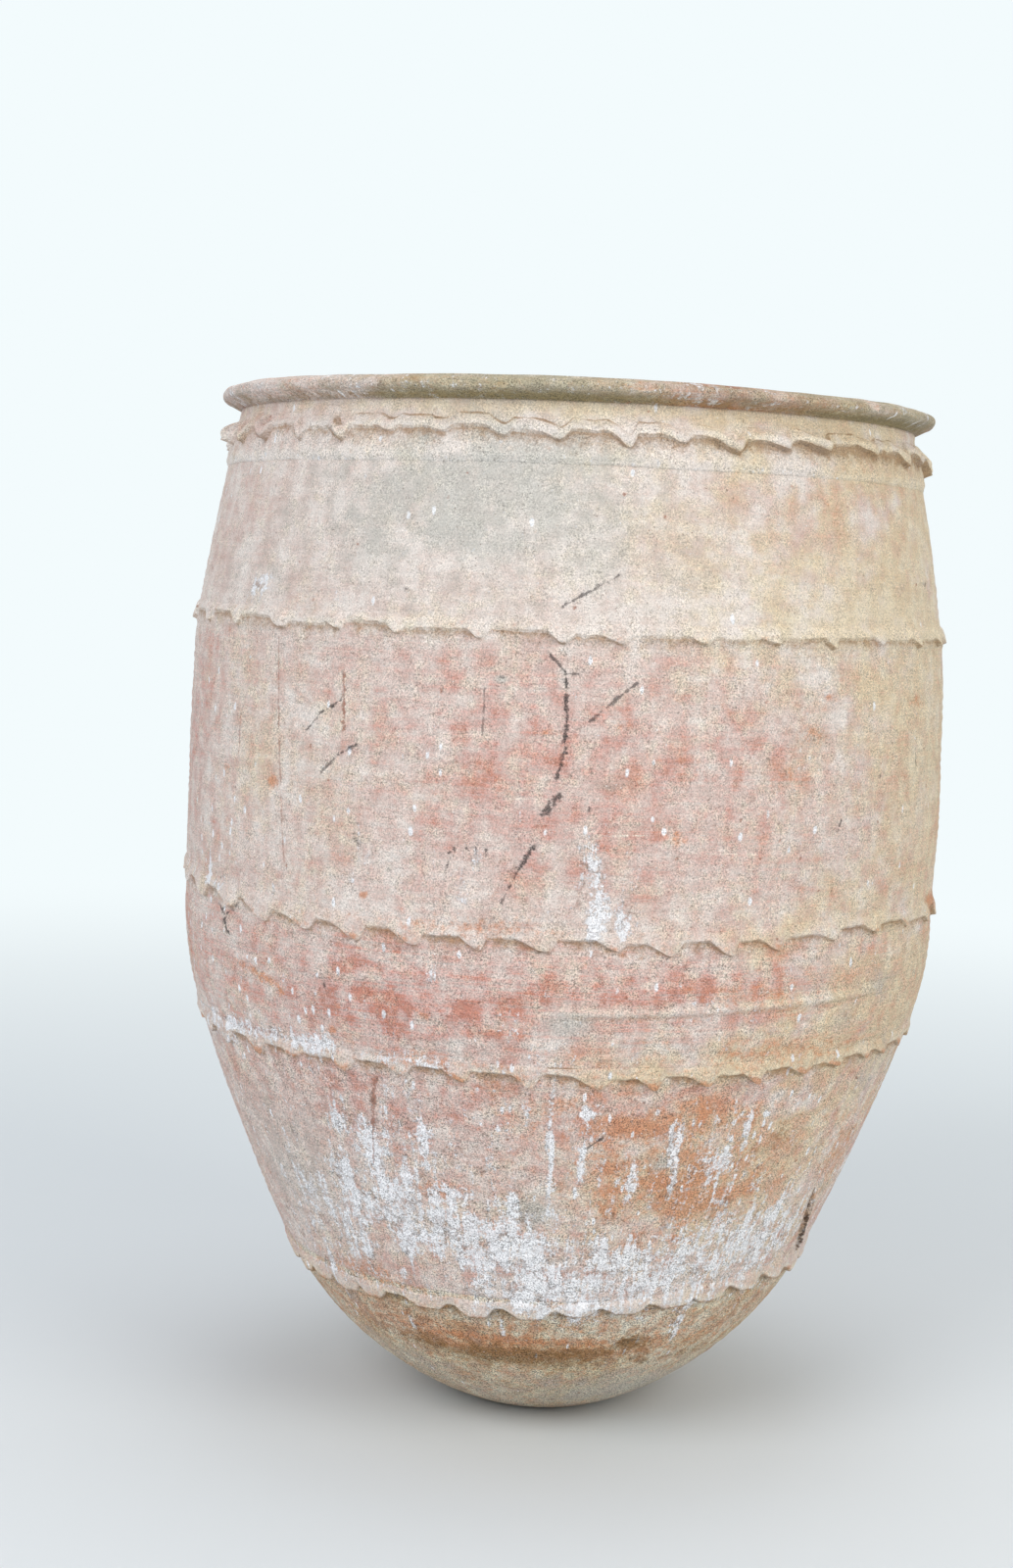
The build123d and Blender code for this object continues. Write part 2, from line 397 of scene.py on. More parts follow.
def bandLip(degrees, shape):
    # along the band: height of its lip, how proud it stands, share of tongue, share smeared away
    tongues = shape["tongues"]
    places = tongues["places"]
    count = len(places)
    perDegree = math.radians(1) * outerRadius(shape["joint"])
    turned = (degrees - places[0]) % 360 + places[0]
    before = np.clip(np.searchsorted(places, turned, side="right") - 1, 0, count - 1)
    along = (turned - places[before]) / (np.append(places, places[0] + 360)[before + 1] - places[before])
    drop = np.zeros(len(degrees))
    tongue = np.zeros(len(degrees))
    body = np.zeros(len(degrees))
    smeared = np.zeros(len(degrees))
    leftSteep = lipShape["leftSteep"] * shape["plump"]
    rightSteep = lipShape["rightSteep"] * shape["plump"]
    for side in (0, 1):
        own = (before + side) % count
        away = turnGap(degrees, places[own]) * perDegree
        left = tongues["left"][own]
        right = tongues["right"][own]
        rise = np.clip((away + left) / left, -1, 9)
        rise = np.sign(rise) * np.abs(rise) ** shape["bow"]
        edges = softMin(leftSteep * rise, rightSteep * (right - away) / right, lipShape["edgeBlend"])
        full = np.clip(softMin(edges, np.ones_like(edges), lipShape["crownBlend"]), 0, 1)
        drop = np.maximum(drop, tongues["size"][own] * full)
        wide = softMin((away + left + 4) / left, (right + 1 - away) / right, lipShape["bodyBlend"])
        wide = np.clip(wide, 0, 1)
        body = np.where(wide > tongue, tongues["thick"][own], body)
        tongue = np.maximum(tongue, wide)
        past = smooth((away - 0.5) / 3.5) * (1 - smooth((away - right) / 7))
        smeared = np.maximum(smeared, tongues["smear"][own] * past)
    for centre, half, share in shape["calm"]:
        near = 1 - (1 - share) * hump(turnGap(degrees, centre) / half)
        drop *= near
        body *= near
    flat = np.zeros(len(degrees))
    rough = lipShape["rough"] * lumps(degrees, flat, 15, 1, lipNoise)
    rough += lipShape["fineRough"] * lumps(degrees, flat, 5, 1, lipNoise)
    arch = tongues["arch"][before] * 4 * along * (1 - along)
    lip = knotLine(degrees, shape["low"]) + shape["dip"] * (1 - drop) + arch * (1 - drop) + rough
    worn = np.clip(0.8 + 0.9 * lumps(degrees, flat, 38, 1, lipNoise), 0.35, 1.3)
    thin = shape["thin"] * worn
    thick = shape["thick"] * body
    if "bulk" in shape:
        thick = thick * knotLine(degrees, shape["bulk"])
    proud = (thin + np.clip(thick - thin, 0, None) * tongue) * (1 - 0.9 * smeared)
    return lip, proud, tongue * (1 - smeared), smeared


lipNoise = makeNoise(43)
for name, given in bandShape.items():
    shape = {**plainBand, **given}
    bandShape[name] = shape
    below, above = shape["between"]
    shape["joint"] = (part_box(below)[1].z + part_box(above)[0].z) / 2 / mm
    shape["lean"] = math.radians(float(np.interp(shape["joint"], wallHeights, wallLean)))
    shape["tongues"] = layTongues(shape)


# where the weather has been, and some painted light and shade: degrees, height, half width in degrees, half
# height, strength
weatherAndPaintedLight = {
    # (26, 822) and (0, 830) are painted light on the neck, lifting the shade that the rim casts there
    "cream": [
        (-45, 545, 17, 85, 0.22), (66, 560, 17, 120, 0.25), (35, 690, 40, 40, 0.17),
        (20, 735, 26, 50, 0.14), (-30, 465, 26, 14, 0.19), (30, 462, 30, 12, 0.17),
        (0, 452, 80, 8, 0.14), (70, 400, 12, 50, 0.17), (0, 676, 90, 12, 0.14), (40, 350, 40, 8, 0.17),
        (55, 270, 14, 60, 0.17), (-60, 640, 16, 30, 0.08), (26, 822, 34, 18, 0.3), (0, 830, 60, 8, 0.4),
        (24, 560, 20, 60, 0.06),
    ],
    "pink": [
        (0, 600, 24, 55, 0.25), (-6, 520, 16, 40, 0.19), (-24, 385, 22, 42, 0.44),
        (14, 402, 26, 22, 0.25), (-66, 740, 16, 60, 0.22), (-70, 580, 12, 80, 0.22),
        (22, 540, 16, 60, 0.19), (36, 735, 16, 34, 0.34), (27, 770, 9, 20, 0.3), (48, 775, 10, 26, 0.3),
        (14, 740, 9, 30, 0.18), (-30, 300, 22, 30, 0.25), (10, 300, 14, 22, 0.17),
        (-20, 90, 22, 26, 0.19), (0, 110, 60, 14, 0.22), (28, 590, 10, 24, 0.17),
        (-10, 640, 14, 18, 0.11), (-58, 816, 16, 24, 0.35), (60, 800, 12, 30, 0.15),
        (30, 812, 28, 22, 0.22), (4, 830, 70, 8, 0.35), (-40, 112, 22, 16, 0.35),
    ],
    # (-50, 230) is painted shade on the lower left of the wall
    "grey": [
        (-15, 764, 19, 44, 0.42), (-8, 800, 18, 22, 0.32), (-34, 740, 20, 50, 0.2),
        (-2, 730, 26, 60, 0.27), (1, 381, 3.5, 12, 0.75), (44.5, 376, 4, 11, 0.4),
        (-3, 222, 4, 16, 0.75), (17.2, 269, 2.2, 8, 0.75), (-10, 631, 1.2, 3.0, 0.8),
        (52, 400, 5, 14, 0.45), (30, 40, 34, 24, 0.5), (-40, 60, 16, 30, 0.3), (60, 320, 8, 24, 0.45),
        (5, 560, 3, 10, 0.35), (34, 815, 34, 34, -0.3), (-50, 230, 20, 80, 0.45), (33, 592, 3, 8, 0.35),
        (-58, 700, 10, 24, 0.25),
    ],
    "lime": [
        (-10, 194, 13, 34, 0.85), (-28, 222, 10, 36, 0.45), (9, 160, 14, 26, 0.6),
        (-44, 200, 10, 40, 0.4), (30, 190, 14, 40, 0.45), (50, 200, 10, 40, 0.35),
        (-52, 692, 3.2, 9, 0.9), (-35, 684, 2.4, 6, 0.6), (14.6, 700, 1.2, 12, 0.5),
        (3.6, 490, 2.2, 36, 0.75), (8, 470, 1.6, 24, 0.5), (-38, 345, 20, 7, 0.45),
        (-54, 341, 18, 7, 0.4), (-18, 342, 12, 5, 0.3), (-28, 500, 1.6, 16, 0.5), (-60, 455, 10, 8, 0.5),
        (-42, 440, 6, 10, 0.4), (-2, 352, 3, 22, 0.45), (2, 140, 60, 9, 0.18), (-30, 280, 14, 40, 0.35),
        (24, 262, 10, 40, 0.3), (-62, 330, 8, 14, 0.45), (-14, 470, 4, 14, 0.3), (30, 580, 6, 24, 0.18),
        (-60, 720, 8, 30, 0.15), (-36.2, 206, 0.8, 30, 1.1), (-21, 281, 0.7, 15, 1.1),
        (-0.7, 266, 0.6, 26, 0.9), (18.4, 282, 0.6, 14, 0.9), (19.4, 256, 0.5, 12, 0.8),
        (-1.4, 160, 0.7, 28, 1.0), (5.8, 140, 0.7, 24, 0.8), (-31.4, 280, 0.6, 12, 1.0),
        (-36.2, 278, 0.6, 10, 0.9), (-26.8, 182, 0.9, 18, 0.9), (-31, 104, 0.7, 12, 0.9),
        (-9.4, 115, 0.6, 9, 0.9), (30.5, 110, 0.9, 14, 0.9), (-49.5, 148, 0.8, 12, 0.9),
        (3.5, 456, 0.7, 12, 1.0), (7.4, 451, 0.7, 12, 1.0), (18.0, 293, 1.0, 8, 0.9),
        (18.9, 279, 0.7, 14, 0.75), (19.3, 256, 0.5, 22, 0.6), (24.3, 289, 0.6, 12, 0.4),
        (27.9, 266, 1.0, 14, 0.75), (30.6, 297, 0.9, 10, 0.7), (34.0, 303, 1.2, 3.5, 0.9),
        (12.6, 252, 1.0, 22, 0.7), (8.6, 268, 1.0, 5, 0.6), (4.3, 264, 0.8, 30, 0.6),
        (-1.0, 290, 0.6, 22, 0.6), (4.0, 311, 1.2, 5, 0.8), (-29.9, 475, 0.6, 9, 0.9),
        (-18, 411, 0.8, 9, 0.8), (-12, 500, 0.5, 9, 0.7), (-62, 470, 0.8, 14, 0.9),
    ],
    "rust": [
        (-45.5, 389, 3.0, 5, 0.3), (-28, 466, 0.8, 4, 0.9), (-33.4, 358.5, 0.6, 3.5, 0.8),
        (-18.7, 379.5, 0.7, 4, 0.7), (22, 250, 9, 26, 0.24), (8, 270, 5, 30, 0.18),
        (24, 242, 20, 44, 0.16), (9.1, 264, 1.4, 4, 0.6), (17.1, 252, 2.4, 6, 0.55),
        (23.5, 255, 3.2, 8, 0.5), (29.5, 233, 4.0, 8, 0.45), (21.8, 225, 3.6, 9, 0.5),
        (34.2, 239, 3.2, 8, 0.45), (15.1, 206, 2.2, 7, 0.55), (21.8, 200, 1.8, 5, 0.5),
        (9.6, 228, 1.8, 8, 0.45), (20.5, 317, 4.0, 7, 0.4), (26.2, 315, 3.2, 6, 0.4),
        (30.7, 304, 1.6, 6, 0.5), (0.8, 315, 2.4, 7, 0.4), (32, 356, 14, 10, 0.3), (74, 452, 5, 9, 0.9),
        (-8, 92, 36, 8, 0.55), (-44.9, 543, 1.6, 5, 0.8), (-56.7, 547, 1.2, 4, 0.6),
        (26, 402, 10, 10, 0.3), (-12, 450, 10, 7, 0.4), (14, 300, 14, 12, 0.35), (60, 250, 8, 30, 0.35),
        (-40, 150, 12, 8, 0.5), (34.3, 597, 3.2, 7, 0.55), (37, 624, 2.2, 5, 0.5),
        (59, 620, 2.6, 6, 0.5), (7, 600, 3, 5, 0.35), (14.3, 520, 1.6, 8, 0.5), (29, 567, 2.4, 10, 0.35),
        (-3.4, 594, 2.2, 4, 0.5), (21, 273, 6, 10, 0.35), (21, 234, 5, 9, 0.45), (10.5, 300, 4, 8, 0.35),
        (-19, 236, 4, 8, 0.5), (-4, 104, 38, 4, 0.4), (-20, 345, 12, 6, 0.3), (7.5, 433, 2.0, 4, 0.4),
    ],
    # the broad patches on the right side, between 30 and 68 degrees, are partly painted warm light for that
    # side and partly yellowish staining
    "ochre": [
        (68, 560, 30, 220, 0.55), (45, 700, 30, 90, 0.35), (60, 380, 26, 60, 0.5),
        (34, 350, 24, 24, 0.4), (30, 250, 26, 60, 0.7), (0, 88, 34, 16, 0.5), (-45, 560, 16, 70, 0.2),
        (14, 740, 20, 40, 0.15), (60, 800, 30, 30, 0.3), (-5, 40, 60, 40, 0.1), (28, 815, 30, 26, 0.15),
        (4, 830, 70, 8, 0.45),
    ],
    "grimeAndShade": [
        (-8, 86, 32, 13, 0.72), (20, 103, 4.5, 7, 0.8), (-36, 92, 12, 10, 0.3), (4, 94, 12, 6, 0.35),
        (52, 352, 10, 10, 0.3), (46, 378, 4, 9, 0.4), (53, 398, 5, 8, 0.3), (-4, 226, 2.2, 9, 0.25),
        (24, 262, 3, 6, 0.3), (36, 80, 12, 9, 0.35), (37.8, 284, 2.2, 12, 0.5), (17.2, 269, 2.0, 7, 0.3),
        (36, 270, 3, 7, 0.35),
    ],
    "flecks": [
        (-64, 420, 16, 110, 0.8), (-56, 320, 18, 70, 0.75), (-40, 380, 20, 60, 0.6),
        (-30, 310, 30, 40, 0.45), (10, 300, 30, 30, 0.2), (-60, 480, 14, 50, 0.5),
        (34, 230, 30, 60, 0.55), (16, 290, 26, 40, 0.4), (-30, 112, 24, 16, 0.45),
        (-62, 790, 14, 40, 0.4), (-24, 530, 26, 60, 0.22), (10, 540, 20, 60, 0.15),
    ],
    "soot": [
        (-34.4, 393, 0.45, 4, 0.7), (-29.3, 506, 0.6, 3, 0.3), (2.6, 592, 1.8, 9, 0.36),
        (26.8, 578, 1.1, 4, 0.6), (48.5, 563, 0.6, 7, 0.45), (2.4, 540, 0.3, 6, 0.55),
        (6.2, 539, 0.3, 6, 0.6), (-26, 572, 1.0, 3, 0.5), (-24, 693, 0.9, 4, 0.45),
        (14.4, 703, 0.4, 6, 0.5), (-10, 632, 0.7, 2.0, 0.6), (66, 712, 2.4, 5, 0.5),
        (30, 588, 1.4, 4, 0.35), (-28.5, 660, 0.5, 2.5, 0.5),
    ],
}
veilByHeight = {
    "cream": [
        (0, 0.2), (138, 0.25), (250, 0.22), (328, 0.24), (340, 0.36), (390, 0.3), (430, 0.3),
        (444, 0.38), (560, 0.36), (650, 0.4), (664, 0.52), (720, 0.54), (830, 0.6),
    ],
    "pink": [
        (0, 0.2), (138, 0.25), (337, 0.3), (390, 0.4), (440, 0.36), (560, 0.36), (650, 0.3), (663, 0.26),
        (830, 0.18),
    ],
    "grey": [(0, 0.3), (70, 0.18), (138, 0.1), (337, 0.1), (663, 0.08), (720, 0.12), (830, 0.12)],
    "lime": [
        (0, 0.1), (100, 0.16), (150, 0.36), (220, 0.31), (300, 0.25), (337, 0.2), (440, 0.14),
        (560, 0.08), (830, 0.04),
    ],
    "rust": [
        (0, 0.25), (90, 0.25), (138, 0.16), (260, 0.22), (337, 0.2), (400, 0.12), (560, 0.05),
        (830, 0.02),
    ],
    "ochre": [(0, 0.35), (60, 0.38), (120, 0.34), (150, 0.2), (337, 0.16), (560, 0.14), (830, 0.12)],
    "grimeAndShade": [(0, 0), (830, 0)],
    "flecks": [(0, 0.05), (140, 0.2), (337, 0.18), (440, 0.1), (560, 0.06), (830, 0.1)],
    "soot": [(0, 0), (830, 0)],
}


# patches for the side that the picture does not show: kind, how many, lowest, highest, strength
backWeather = [
    ("cream", 16, 350, 800, 0.4), ("pink", 18, 60, 780, 0.5), ("grey", 12, 30, 800, 0.35),
    ("lime", 26, 130, 480, 0.6), ("rust", 12, 60, 460, 0.5), ("ochre", 12, 60, 780, 0.45),
    ("soot", 6, 380, 720, 0.6), ("flecks", 10, 120, 460, 0.6),
]
backSizes = {"turn": (84, 276), "patch": ((3, 18), (8, 60)), "spot": ((0.5, 1.5), (2, 5)), "vary": (0.5, 1.1)}


def addBackWeather():
    draw = np.random.default_rng(77)
    for kind, count, low, high, strength in backWeather:
        widths, talls = backSizes["spot" if kind == "soot" else "patch"]
        for _ in range(count):
            place = draw.uniform(*backSizes["turn"])
            height = draw.uniform(low, high)
            wide = draw.uniform(*widths)
            tall = draw.uniform(*talls)
            weatherAndPaintedLight[kind].append((place, height, wide, tall, strength * draw.uniform(*backSizes["vary"])))


addBackWeather()
edgeNoise = makeNoise(5)


def weatherAndPaintedLightAt(degrees, height):
    # patch strengths with ragged edges; on top come painted shade with dirt below the band lips, painted
    # highlight and shade at the ridges, and the crack's dark line
    ragged = lumps(degrees, height, 34, 30, edgeNoise)
    finer = lumps(degrees, height, 12, 10, edgeNoise)
    marks = {}
    for kind, patches in weatherAndPaintedLight.items():
        knots = np.array(veilByHeight[kind])
        amount = np.interp(height, knots[:, 0], knots[:, 1])
        for place, centre, wide, tall, strength in patches:
            away = turnGap(degrees, place)
            near = np.abs(away) < wide * 3
            near &= np.abs(height - centre) < tall * 3
            if near.any():
                push = 1 + 0.5 * ragged[near] + 0.35 * finer[near]
                beside = hump(away[near] / (wide * push))
                amount[near] += strength * beside * hump((height[near] - centre) / (tall * push))
        marks[kind] = amount
    grimeAndShade = marks["grimeAndShade"]
    # painted shade mixed with dirt in the hollow below each band's lip, reaching further where the thumb
    # pressed deeper
    for shape in bandShape.values():
        lip, _, _, smeared = bandLip(degrees, shape)
        under = shape["joint"] + lip * math.cos(shape["lean"]) - height
        pressed = np.clip((lip - knotLine(degrees, shape["low"])) / shape["dip"], 0, 1) * (1 - smeared)
        fade = (1.5 + 6 * pressed) * shape["shade"]
        dirtAndShade = np.exp(-np.clip(under - 1, 0, None) / fade) * (under > -5) * (0.42 + 0.5 * pressed)
        grimeAndShade = np.maximum(grimeAndShade, knotLine(degrees, shape["dirtAndShade"]) * dirtAndShade)
    # a painted highlight along the top of each raised ridge, and painted shade just below it
    for ridge in wallShape["ridges"]:
        centre, proud = ridgeLine(ridge, degrees)
        half = ridge[-1]
        marks["cream"] += 0.3 * proud * hump((height - centre - 1) / (half + 1))
        grimeAndShade = np.maximum(grimeAndShade, 0.2 * proud * hump((height - centre + half + 1) / half))
    right, along = crackSide(degrees, height)
    inCrack = (along > 0.02) & (along < 1.0)
    marks["grimeAndShade"] = np.maximum(grimeAndShade, 0.75 * hump((right + 0.8) / 2.4) * inCrack)
    return marks


# turning a section into a finished piece
pieces = {}
meshGaps = {"weld": 0.000002, "seam": 0.000001, "cut": 0.0000005}


def finishPiece(bm, name, shapeIt, sharpAngle=48):
    bmesh.ops.remove_doubles(bm, verts=bm.verts, dist=meshGaps["weld"])
    bmesh.ops.recalc_face_normals(bm, faces=bm.faces)
    mesh = bpy.data.meshes.new(name + "_clay")
    bm.to_mesh(mesh)
    bm.free()
    count = len(mesh.vertices)
    places = np.zeros(count * 3)
    mesh.vertices.foreach_get("co", places)
    places = places.reshape(-1, 3) / mm
    degrees = np.degrees(np.arctan2(places[:, 0], -places[:, 1]))
    radius = np.hypot(places[:, 0], places[:, 1])
    stations = None
    if "station" in mesh.attributes:
        stations = np.zeros(count)
        mesh.attributes["station"].data.foreach_get("value", stations)
        mesh.attributes.remove(mesh.attributes["station"])
    radius, height, marks = shapeIt(degrees, radius, places[:, 2], stations)
    turn = np.radians(degrees)
    places = np.stack([radius * np.sin(turn), -radius * np.cos(turn), height], axis=1) * mm
    mesh.vertices.foreach_set("co", places.ravel())
    for kind, amount in marks.items():
        layer = mesh.attributes.new(kind, "FLOAT", "POINT")
        layer.data.foreach_set("value", amount.astype(np.float32))
    mesh.update()
    mesh.shade_smooth()
    mesh.set_sharp_from_angle(angle=math.radians(sharpAngle))
    piece = bpy.data.objects.new(name + "_look", mesh)
    bpy.context.scene.collection.objects.link(piece)
    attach(piece, "root")
    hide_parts(name)
    pieces[name] = piece
    print(name, "shaped,", len(mesh.polygons) * 2, "triangles")


def cutSection(name):
    # the CAD ring cut by the plane y = 0, right half only
    bm = bmesh.new()
    bm.from_mesh(nodes[name].data)
    bmesh.ops.remove_doubles(bm, verts=bm.verts, dist=meshGaps["seam"])
    for across, clearOuter in (((0, 1, 0), True), ((1, 0, 0), False)):
        bmesh.ops.bisect_plane(
            bm, geom=bm.verts[:] + bm.edges[:] + bm.faces[:], dist=meshGaps["cut"],
            plane_co=(0, 0, 0), plane_no=across, clear_inner=True, clear_outer=clearOuter,
        )
    return bm


def turnSection(bm, steps):
    # spin one sector, then double it until it closes: far quicker than one long spin
    doublings = 5
    sector = 2 * math.pi / 2 ** doublings
    bmesh.ops.spin(
        bm, geom=bm.verts[:] + bm.edges[:], cent=(0, 0, 0), axis=(0, 0, 1), dvec=(0, 0, 0),
        angle=sector, steps=round(steps / 2 ** doublings), use_merge=False, use_duplicate=False,
    )
    for _ in range(doublings):
        copy = bmesh.ops.duplicate(bm, geom=bm.verts[:] + bm.edges[:] + bm.faces[:])["geom"]
        corners = [item for item in copy if isinstance(item, bmesh.types.BMVert)]
        bmesh.ops.rotate(bm, cent=(0, 0, 0), matrix=Matrix.Rotation(sector, 3, "Z"), verts=corners)
        sector *= 2


def spinRing(name, steps, spacings, shapeIt, isFine):
    bm = cutSection(name)
    fine, coarse = spacings
    batches = {}
    for edge in bm.edges:
        middle = (edge.verts[0].co + edge.verts[1].co) / 2 / mm
        spacing = fine if isFine(middle.x, middle.z) else coarse
        cuts = math.ceil(edge.calc_length() / mm / spacing) - 1
        if cuts > 0:
            batches.setdefault(cuts, []).append(edge)
    for cuts, edges in batches.items():
        bmesh.ops.subdivide_edges(bm, edges=edges, cuts=cuts)
    turnSection(bm, steps)
    finishPiece(bm, name, shapeIt)


def onOuterFace(radius, height):
    return radius > outerRadius(height) - 1.5


def shapeRing(degrees, radius, height, stations):
    marks = weatherAndPaintedLightAt(degrees, height)
    inside = smooth((outerRadius(height) - 6 - radius) / 6)
    for kind in ("grimeAndShade", "soot", "rust", "flecks", "lime"):
        marks[kind] *= 1 - inside
    marks["grey"] = marks["grey"] * (1 - 0.6 * inside) + 0.2 * inside
    marks["grimeAndShade"] += 0.45 * inside * (1 - smooth((height - 60) / 220))
    marks["inside"] = inside
    return shapeWall(degrees, radius, height), height, marks


wallSpin = {
    "base_disc": 220, "foot_bowl": 600, "lower_wall": 640, "hip_wall": 640, "belly_wall": 608,
    "shoulder_wall": 640, "neck_ring": 640,
}
wallSpacing = (2.0, 9.0)
for name, steps in wallSpin.items():
    slot = "foot_clay" if name in ("base_disc", "foot_bowl") else "wall_clay"
    spinRing(name, steps, wallSpacing, shapeRing, onOuterFace)


# rim: rolled lip, a little uneven, chipped along its nose
rimShape = {
    "steps": 900,
    "wave": 1.3,
    "lump": 0.7,
    "groove": 0.6,
    "spacing": (1.2, 4.0),
    "fineAbove": 828,
    "chips": [
        # degrees, height, half width in degrees, half height, depth
        (8.1, 846, 2.0, 4.0, 2.2), (48.8, 847, 1.6, 4.0, 2.4), (-47, 848, 1.2, 3.0, 1.6),
        (22, 851, 1.4, 2.5, 1.5), (-12, 843, 1.0, 2.5, 1.2), (104, 846, 2.2, 4, 2.4),
        (163, 850, 1.8, 3, 2.0), (231, 845, 1.5, 3, 2.0),
    ],
    # degrees, half width, share
    "olive": [(-8, 26, 1), (58, 24, 0.95), (190, 40, 0.5)],
    "redder": [(20, 15, 1), (-50, 16, 0.25), (120, 30, 0.6)],
    "paler": [(-50, 22, 1)],
    "seed": 31,
}
rimNoise = makeNoise(rimShape["seed"])


def patchesRound(degrees, patches):
    total = np.zeros(len(degrees))
    for place, wide, share in patches:
        total += share * hump(turnGap(degrees, place) / wide)
    return total


def shapeRim(degrees, radius, height, stations):
    shape = rimShape
    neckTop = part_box("neck_ring")[1].z / mm
    mouth = innerRadius(neckTop)
    atNeck = np.full_like(height, neckTop)
    turn = np.radians(degrees)
    rise = smooth((height - neckTop) / 14)
    outward = smooth((radius - mouth - 6) / 20)
    onNeck = shapeWall(degrees, radius, np.minimum(height, neckTop))
    onRim = radius + outerOffset(degrees, atNeck) * outward + innerOffset(degrees, atNeck) * (1 - outward)
    newRadius = np.where(height > neckTop, onRim, onNeck)
    newRadius += rise * shape["lump"] * lumps(degrees, height, 40, 14, rimNoise)
    worn = 0.5 + lumps(degrees, height, 90, 40, rimNoise)
    newRadius -= rise * outward * shape["groove"] * hump((height - neckTop - 4.5) / 1.6) * worn
    newHeight = height + rise * shape["wave"] * (0.6 * np.cos(2 * turn + 2.1) + 0.4 * np.cos(5 * turn))
    newHeight += rise * 0.5 * lumps(degrees, height, 30, 30, rimNoise)
    marks = weatherAndPaintedLightAt(degrees, np.full_like(height, 820.0))
    fresh = np.zeros(len(degrees))
    ragged = 1 + 0.3 * lumps(degrees, height, 9, 9, rimNoise)
    for place, centre, wide, tall, deep in shape["chips"]:
        away = turnGap(degrees, place) / wide
        near = hump(away * ragged) * hump((height - centre) / tall) * outward
        cut = smooth((near - 0.35) / 0.3)
        newRadius -= deep * cut
        fresh = np.maximum(fresh, cut)
    onOutside = radius > mouth + 8
    # under and edge mark the roll's lower part and the line where it meets the neck, which are darkened
    # below: painted shade, mixed with olive moss
    under = smooth((neckTop + 10 - height) / 9) * onOutside
    edge = hump((height - neckTop - 2.5) / 3) * onOutside
    olive = patchesRound(degrees, shape["olive"])
    redder = patchesRound(degrees, shape["redder"])
    paler = patchesRound(degrees, shape["paler"])
    greyer = 0.3 * lumps(degrees, height, 50, 12, rimNoise)
    yellower = 0.25 * lumps(degrees, height, 70, 12, rimNoise)
    marks["grey"] = 0.15 + 0.4 * olive + 0.1 * under + greyer - 0.6 * fresh
    marks["cream"] = 0.45 + 0.4 * paler - 0.25 * under + 0.5 * fresh
    marks["pink"] = 0.25 + 0.3 * redder + 0.5 * fresh
    marks["lime"] = 0.3 + 0.3 * lumps(degrees, height, 30, 6, rimNoise)
    marks["rust"] = 0.15 + 0.4 * redder * under
    marks["ochre"] = 0.05 + 0.5 * olive + 0.3 * under * olive + yellower
    marks["soot"] = np.zeros(len(degrees))
    marks["grimeAndShade"] = np.clip((0.2 * under + 0.6 * edge) * (0.35 + 0.75 * olive) - fresh, 0, 1)
    marks["inside"] = 1 - outward
    return newRadius, newHeight, marks


def onRimFace(radius, height):
    return height > rimShape["fineAbove"]


spinRing("rim", rimShape["steps"], rimShape["spacing"], shapeRim, onRimFace)


# flat strip under the neck band
collarShape = {
    "steps": 900,
    "spacing": (1.5, 4.0),
    "thickness": 2.5,
    "lowThin": 2.1,
    "highThin": 2.3,
    "edgeWave": 1.0,
    "edgeTaper": 6.0,
    "swell": 0.5,
    "seed": 33,
}
collarNoise = makeNoise(collarShape["seed"])


def collarRise(height):
    # how far the strip stands off the wall: it melts away at both edges
    shape = collarShape
    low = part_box("collar_strip")[0].z / mm
    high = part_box("collar_strip")[1].z / mm
    rise = shape["thickness"] - shape["lowThin"] * (1 - smooth((height - low) / shape["edgeTaper"]))
    rise -= shape["highThin"] * (1 - smooth((high - height) / shape["edgeTaper"]))
    return rise * (height > low) * (height < high)


def shapeCollar(degrees, radius, height, stations):
    shape = collarShape
    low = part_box("collar_strip")[0].z / mm
    newRadius = radius + outerOffset(degrees, height)
    onFace = smooth((radius - outerRadius(height) - 0.6) / 1.2)
    newRadius += onFace * (collarRise(height) - shape["thickness"])
    newRadius += onFace * shape["swell"] * lumps(degrees, height, 45, 20, collarNoise)
    newHeight = height + shape["edgeWave"] * lumps(degrees, height, 60, 500, collarNoise)
    marks = weatherAndPaintedLightAt(degrees, height)
    # a painted highlight along the strip's lower edge, in cream and lime
    marks["cream"] += 0.5 * hump((height - low - 3) / 5) + 0.1
    marks["lime"] += 0.35 * hump((height - low - 2) / 3.5)
    marks["inside"] = np.zeros(len(degrees))
    return newRadius, newHeight, marks


def onCollarFace(radius, height):
    return radius > outerRadius(height) + 1


spinRing("collar_strip", collarShape["steps"], collarShape["spacing"], shapeCollar, onCollarFace)


# the bands themselves: a belt section spun round, then drawn into tongues
bandSection = {
    "steps": 1500,
    "facePoints": 16,
    "buried": 1.8,
    "lump": 0.35,
    "scoop": 3.4,
    "startReach": (0.004, 0.008),
    "sharpAngle": 62,
    "seed": 41,
}
bandNoise = makeNoise(bandSection["seed"])


def bandStations():
    # kind and height share of each corner of the section, from the back round the lip and up the face
    under = [("back", 0.0), ("under", 0.0), ("under", 0.35), ("under", 0.65), ("under", 0.9)]
    face = [("face", step / (bandSection["facePoints"] - 1)) for step in range(bandSection["facePoints"])]
    return under + face + [("top", 0.0), ("top", 1.0), ("top", 2.0)]


def spinBand(name):
    shape = bandShape[name]
    stations = bandStations()
    bm = bmesh.new()
    layer = bm.verts.layers.float.new("station")
    radius = (outerRadius(shape["joint"]) + 4) * mm
    wide, tall = bandSection["startReach"]
    corners = []
    for index in range(len(stations)):
        # any round start will do, the tongues come from the station numbers
        roll = 2 * math.pi * index / len(stations)
        place = (radius - wide * math.cos(roll), 0, shape["joint"] * mm - tall * math.sin(roll))
        corner = bm.verts.new(place)
        corner[layer] = index
        corners.append(corner)
    for first, second in zip(corners, corners[1:] + corners[:1]):
        bm.edges.new((first, second))
    turnSection(bm, bandSection["steps"])

    def shapeIt(*places):
        return shapeBand(name, *places)

    finishPiece(bm, name, shapeIt, bandSection["sharpAngle"])


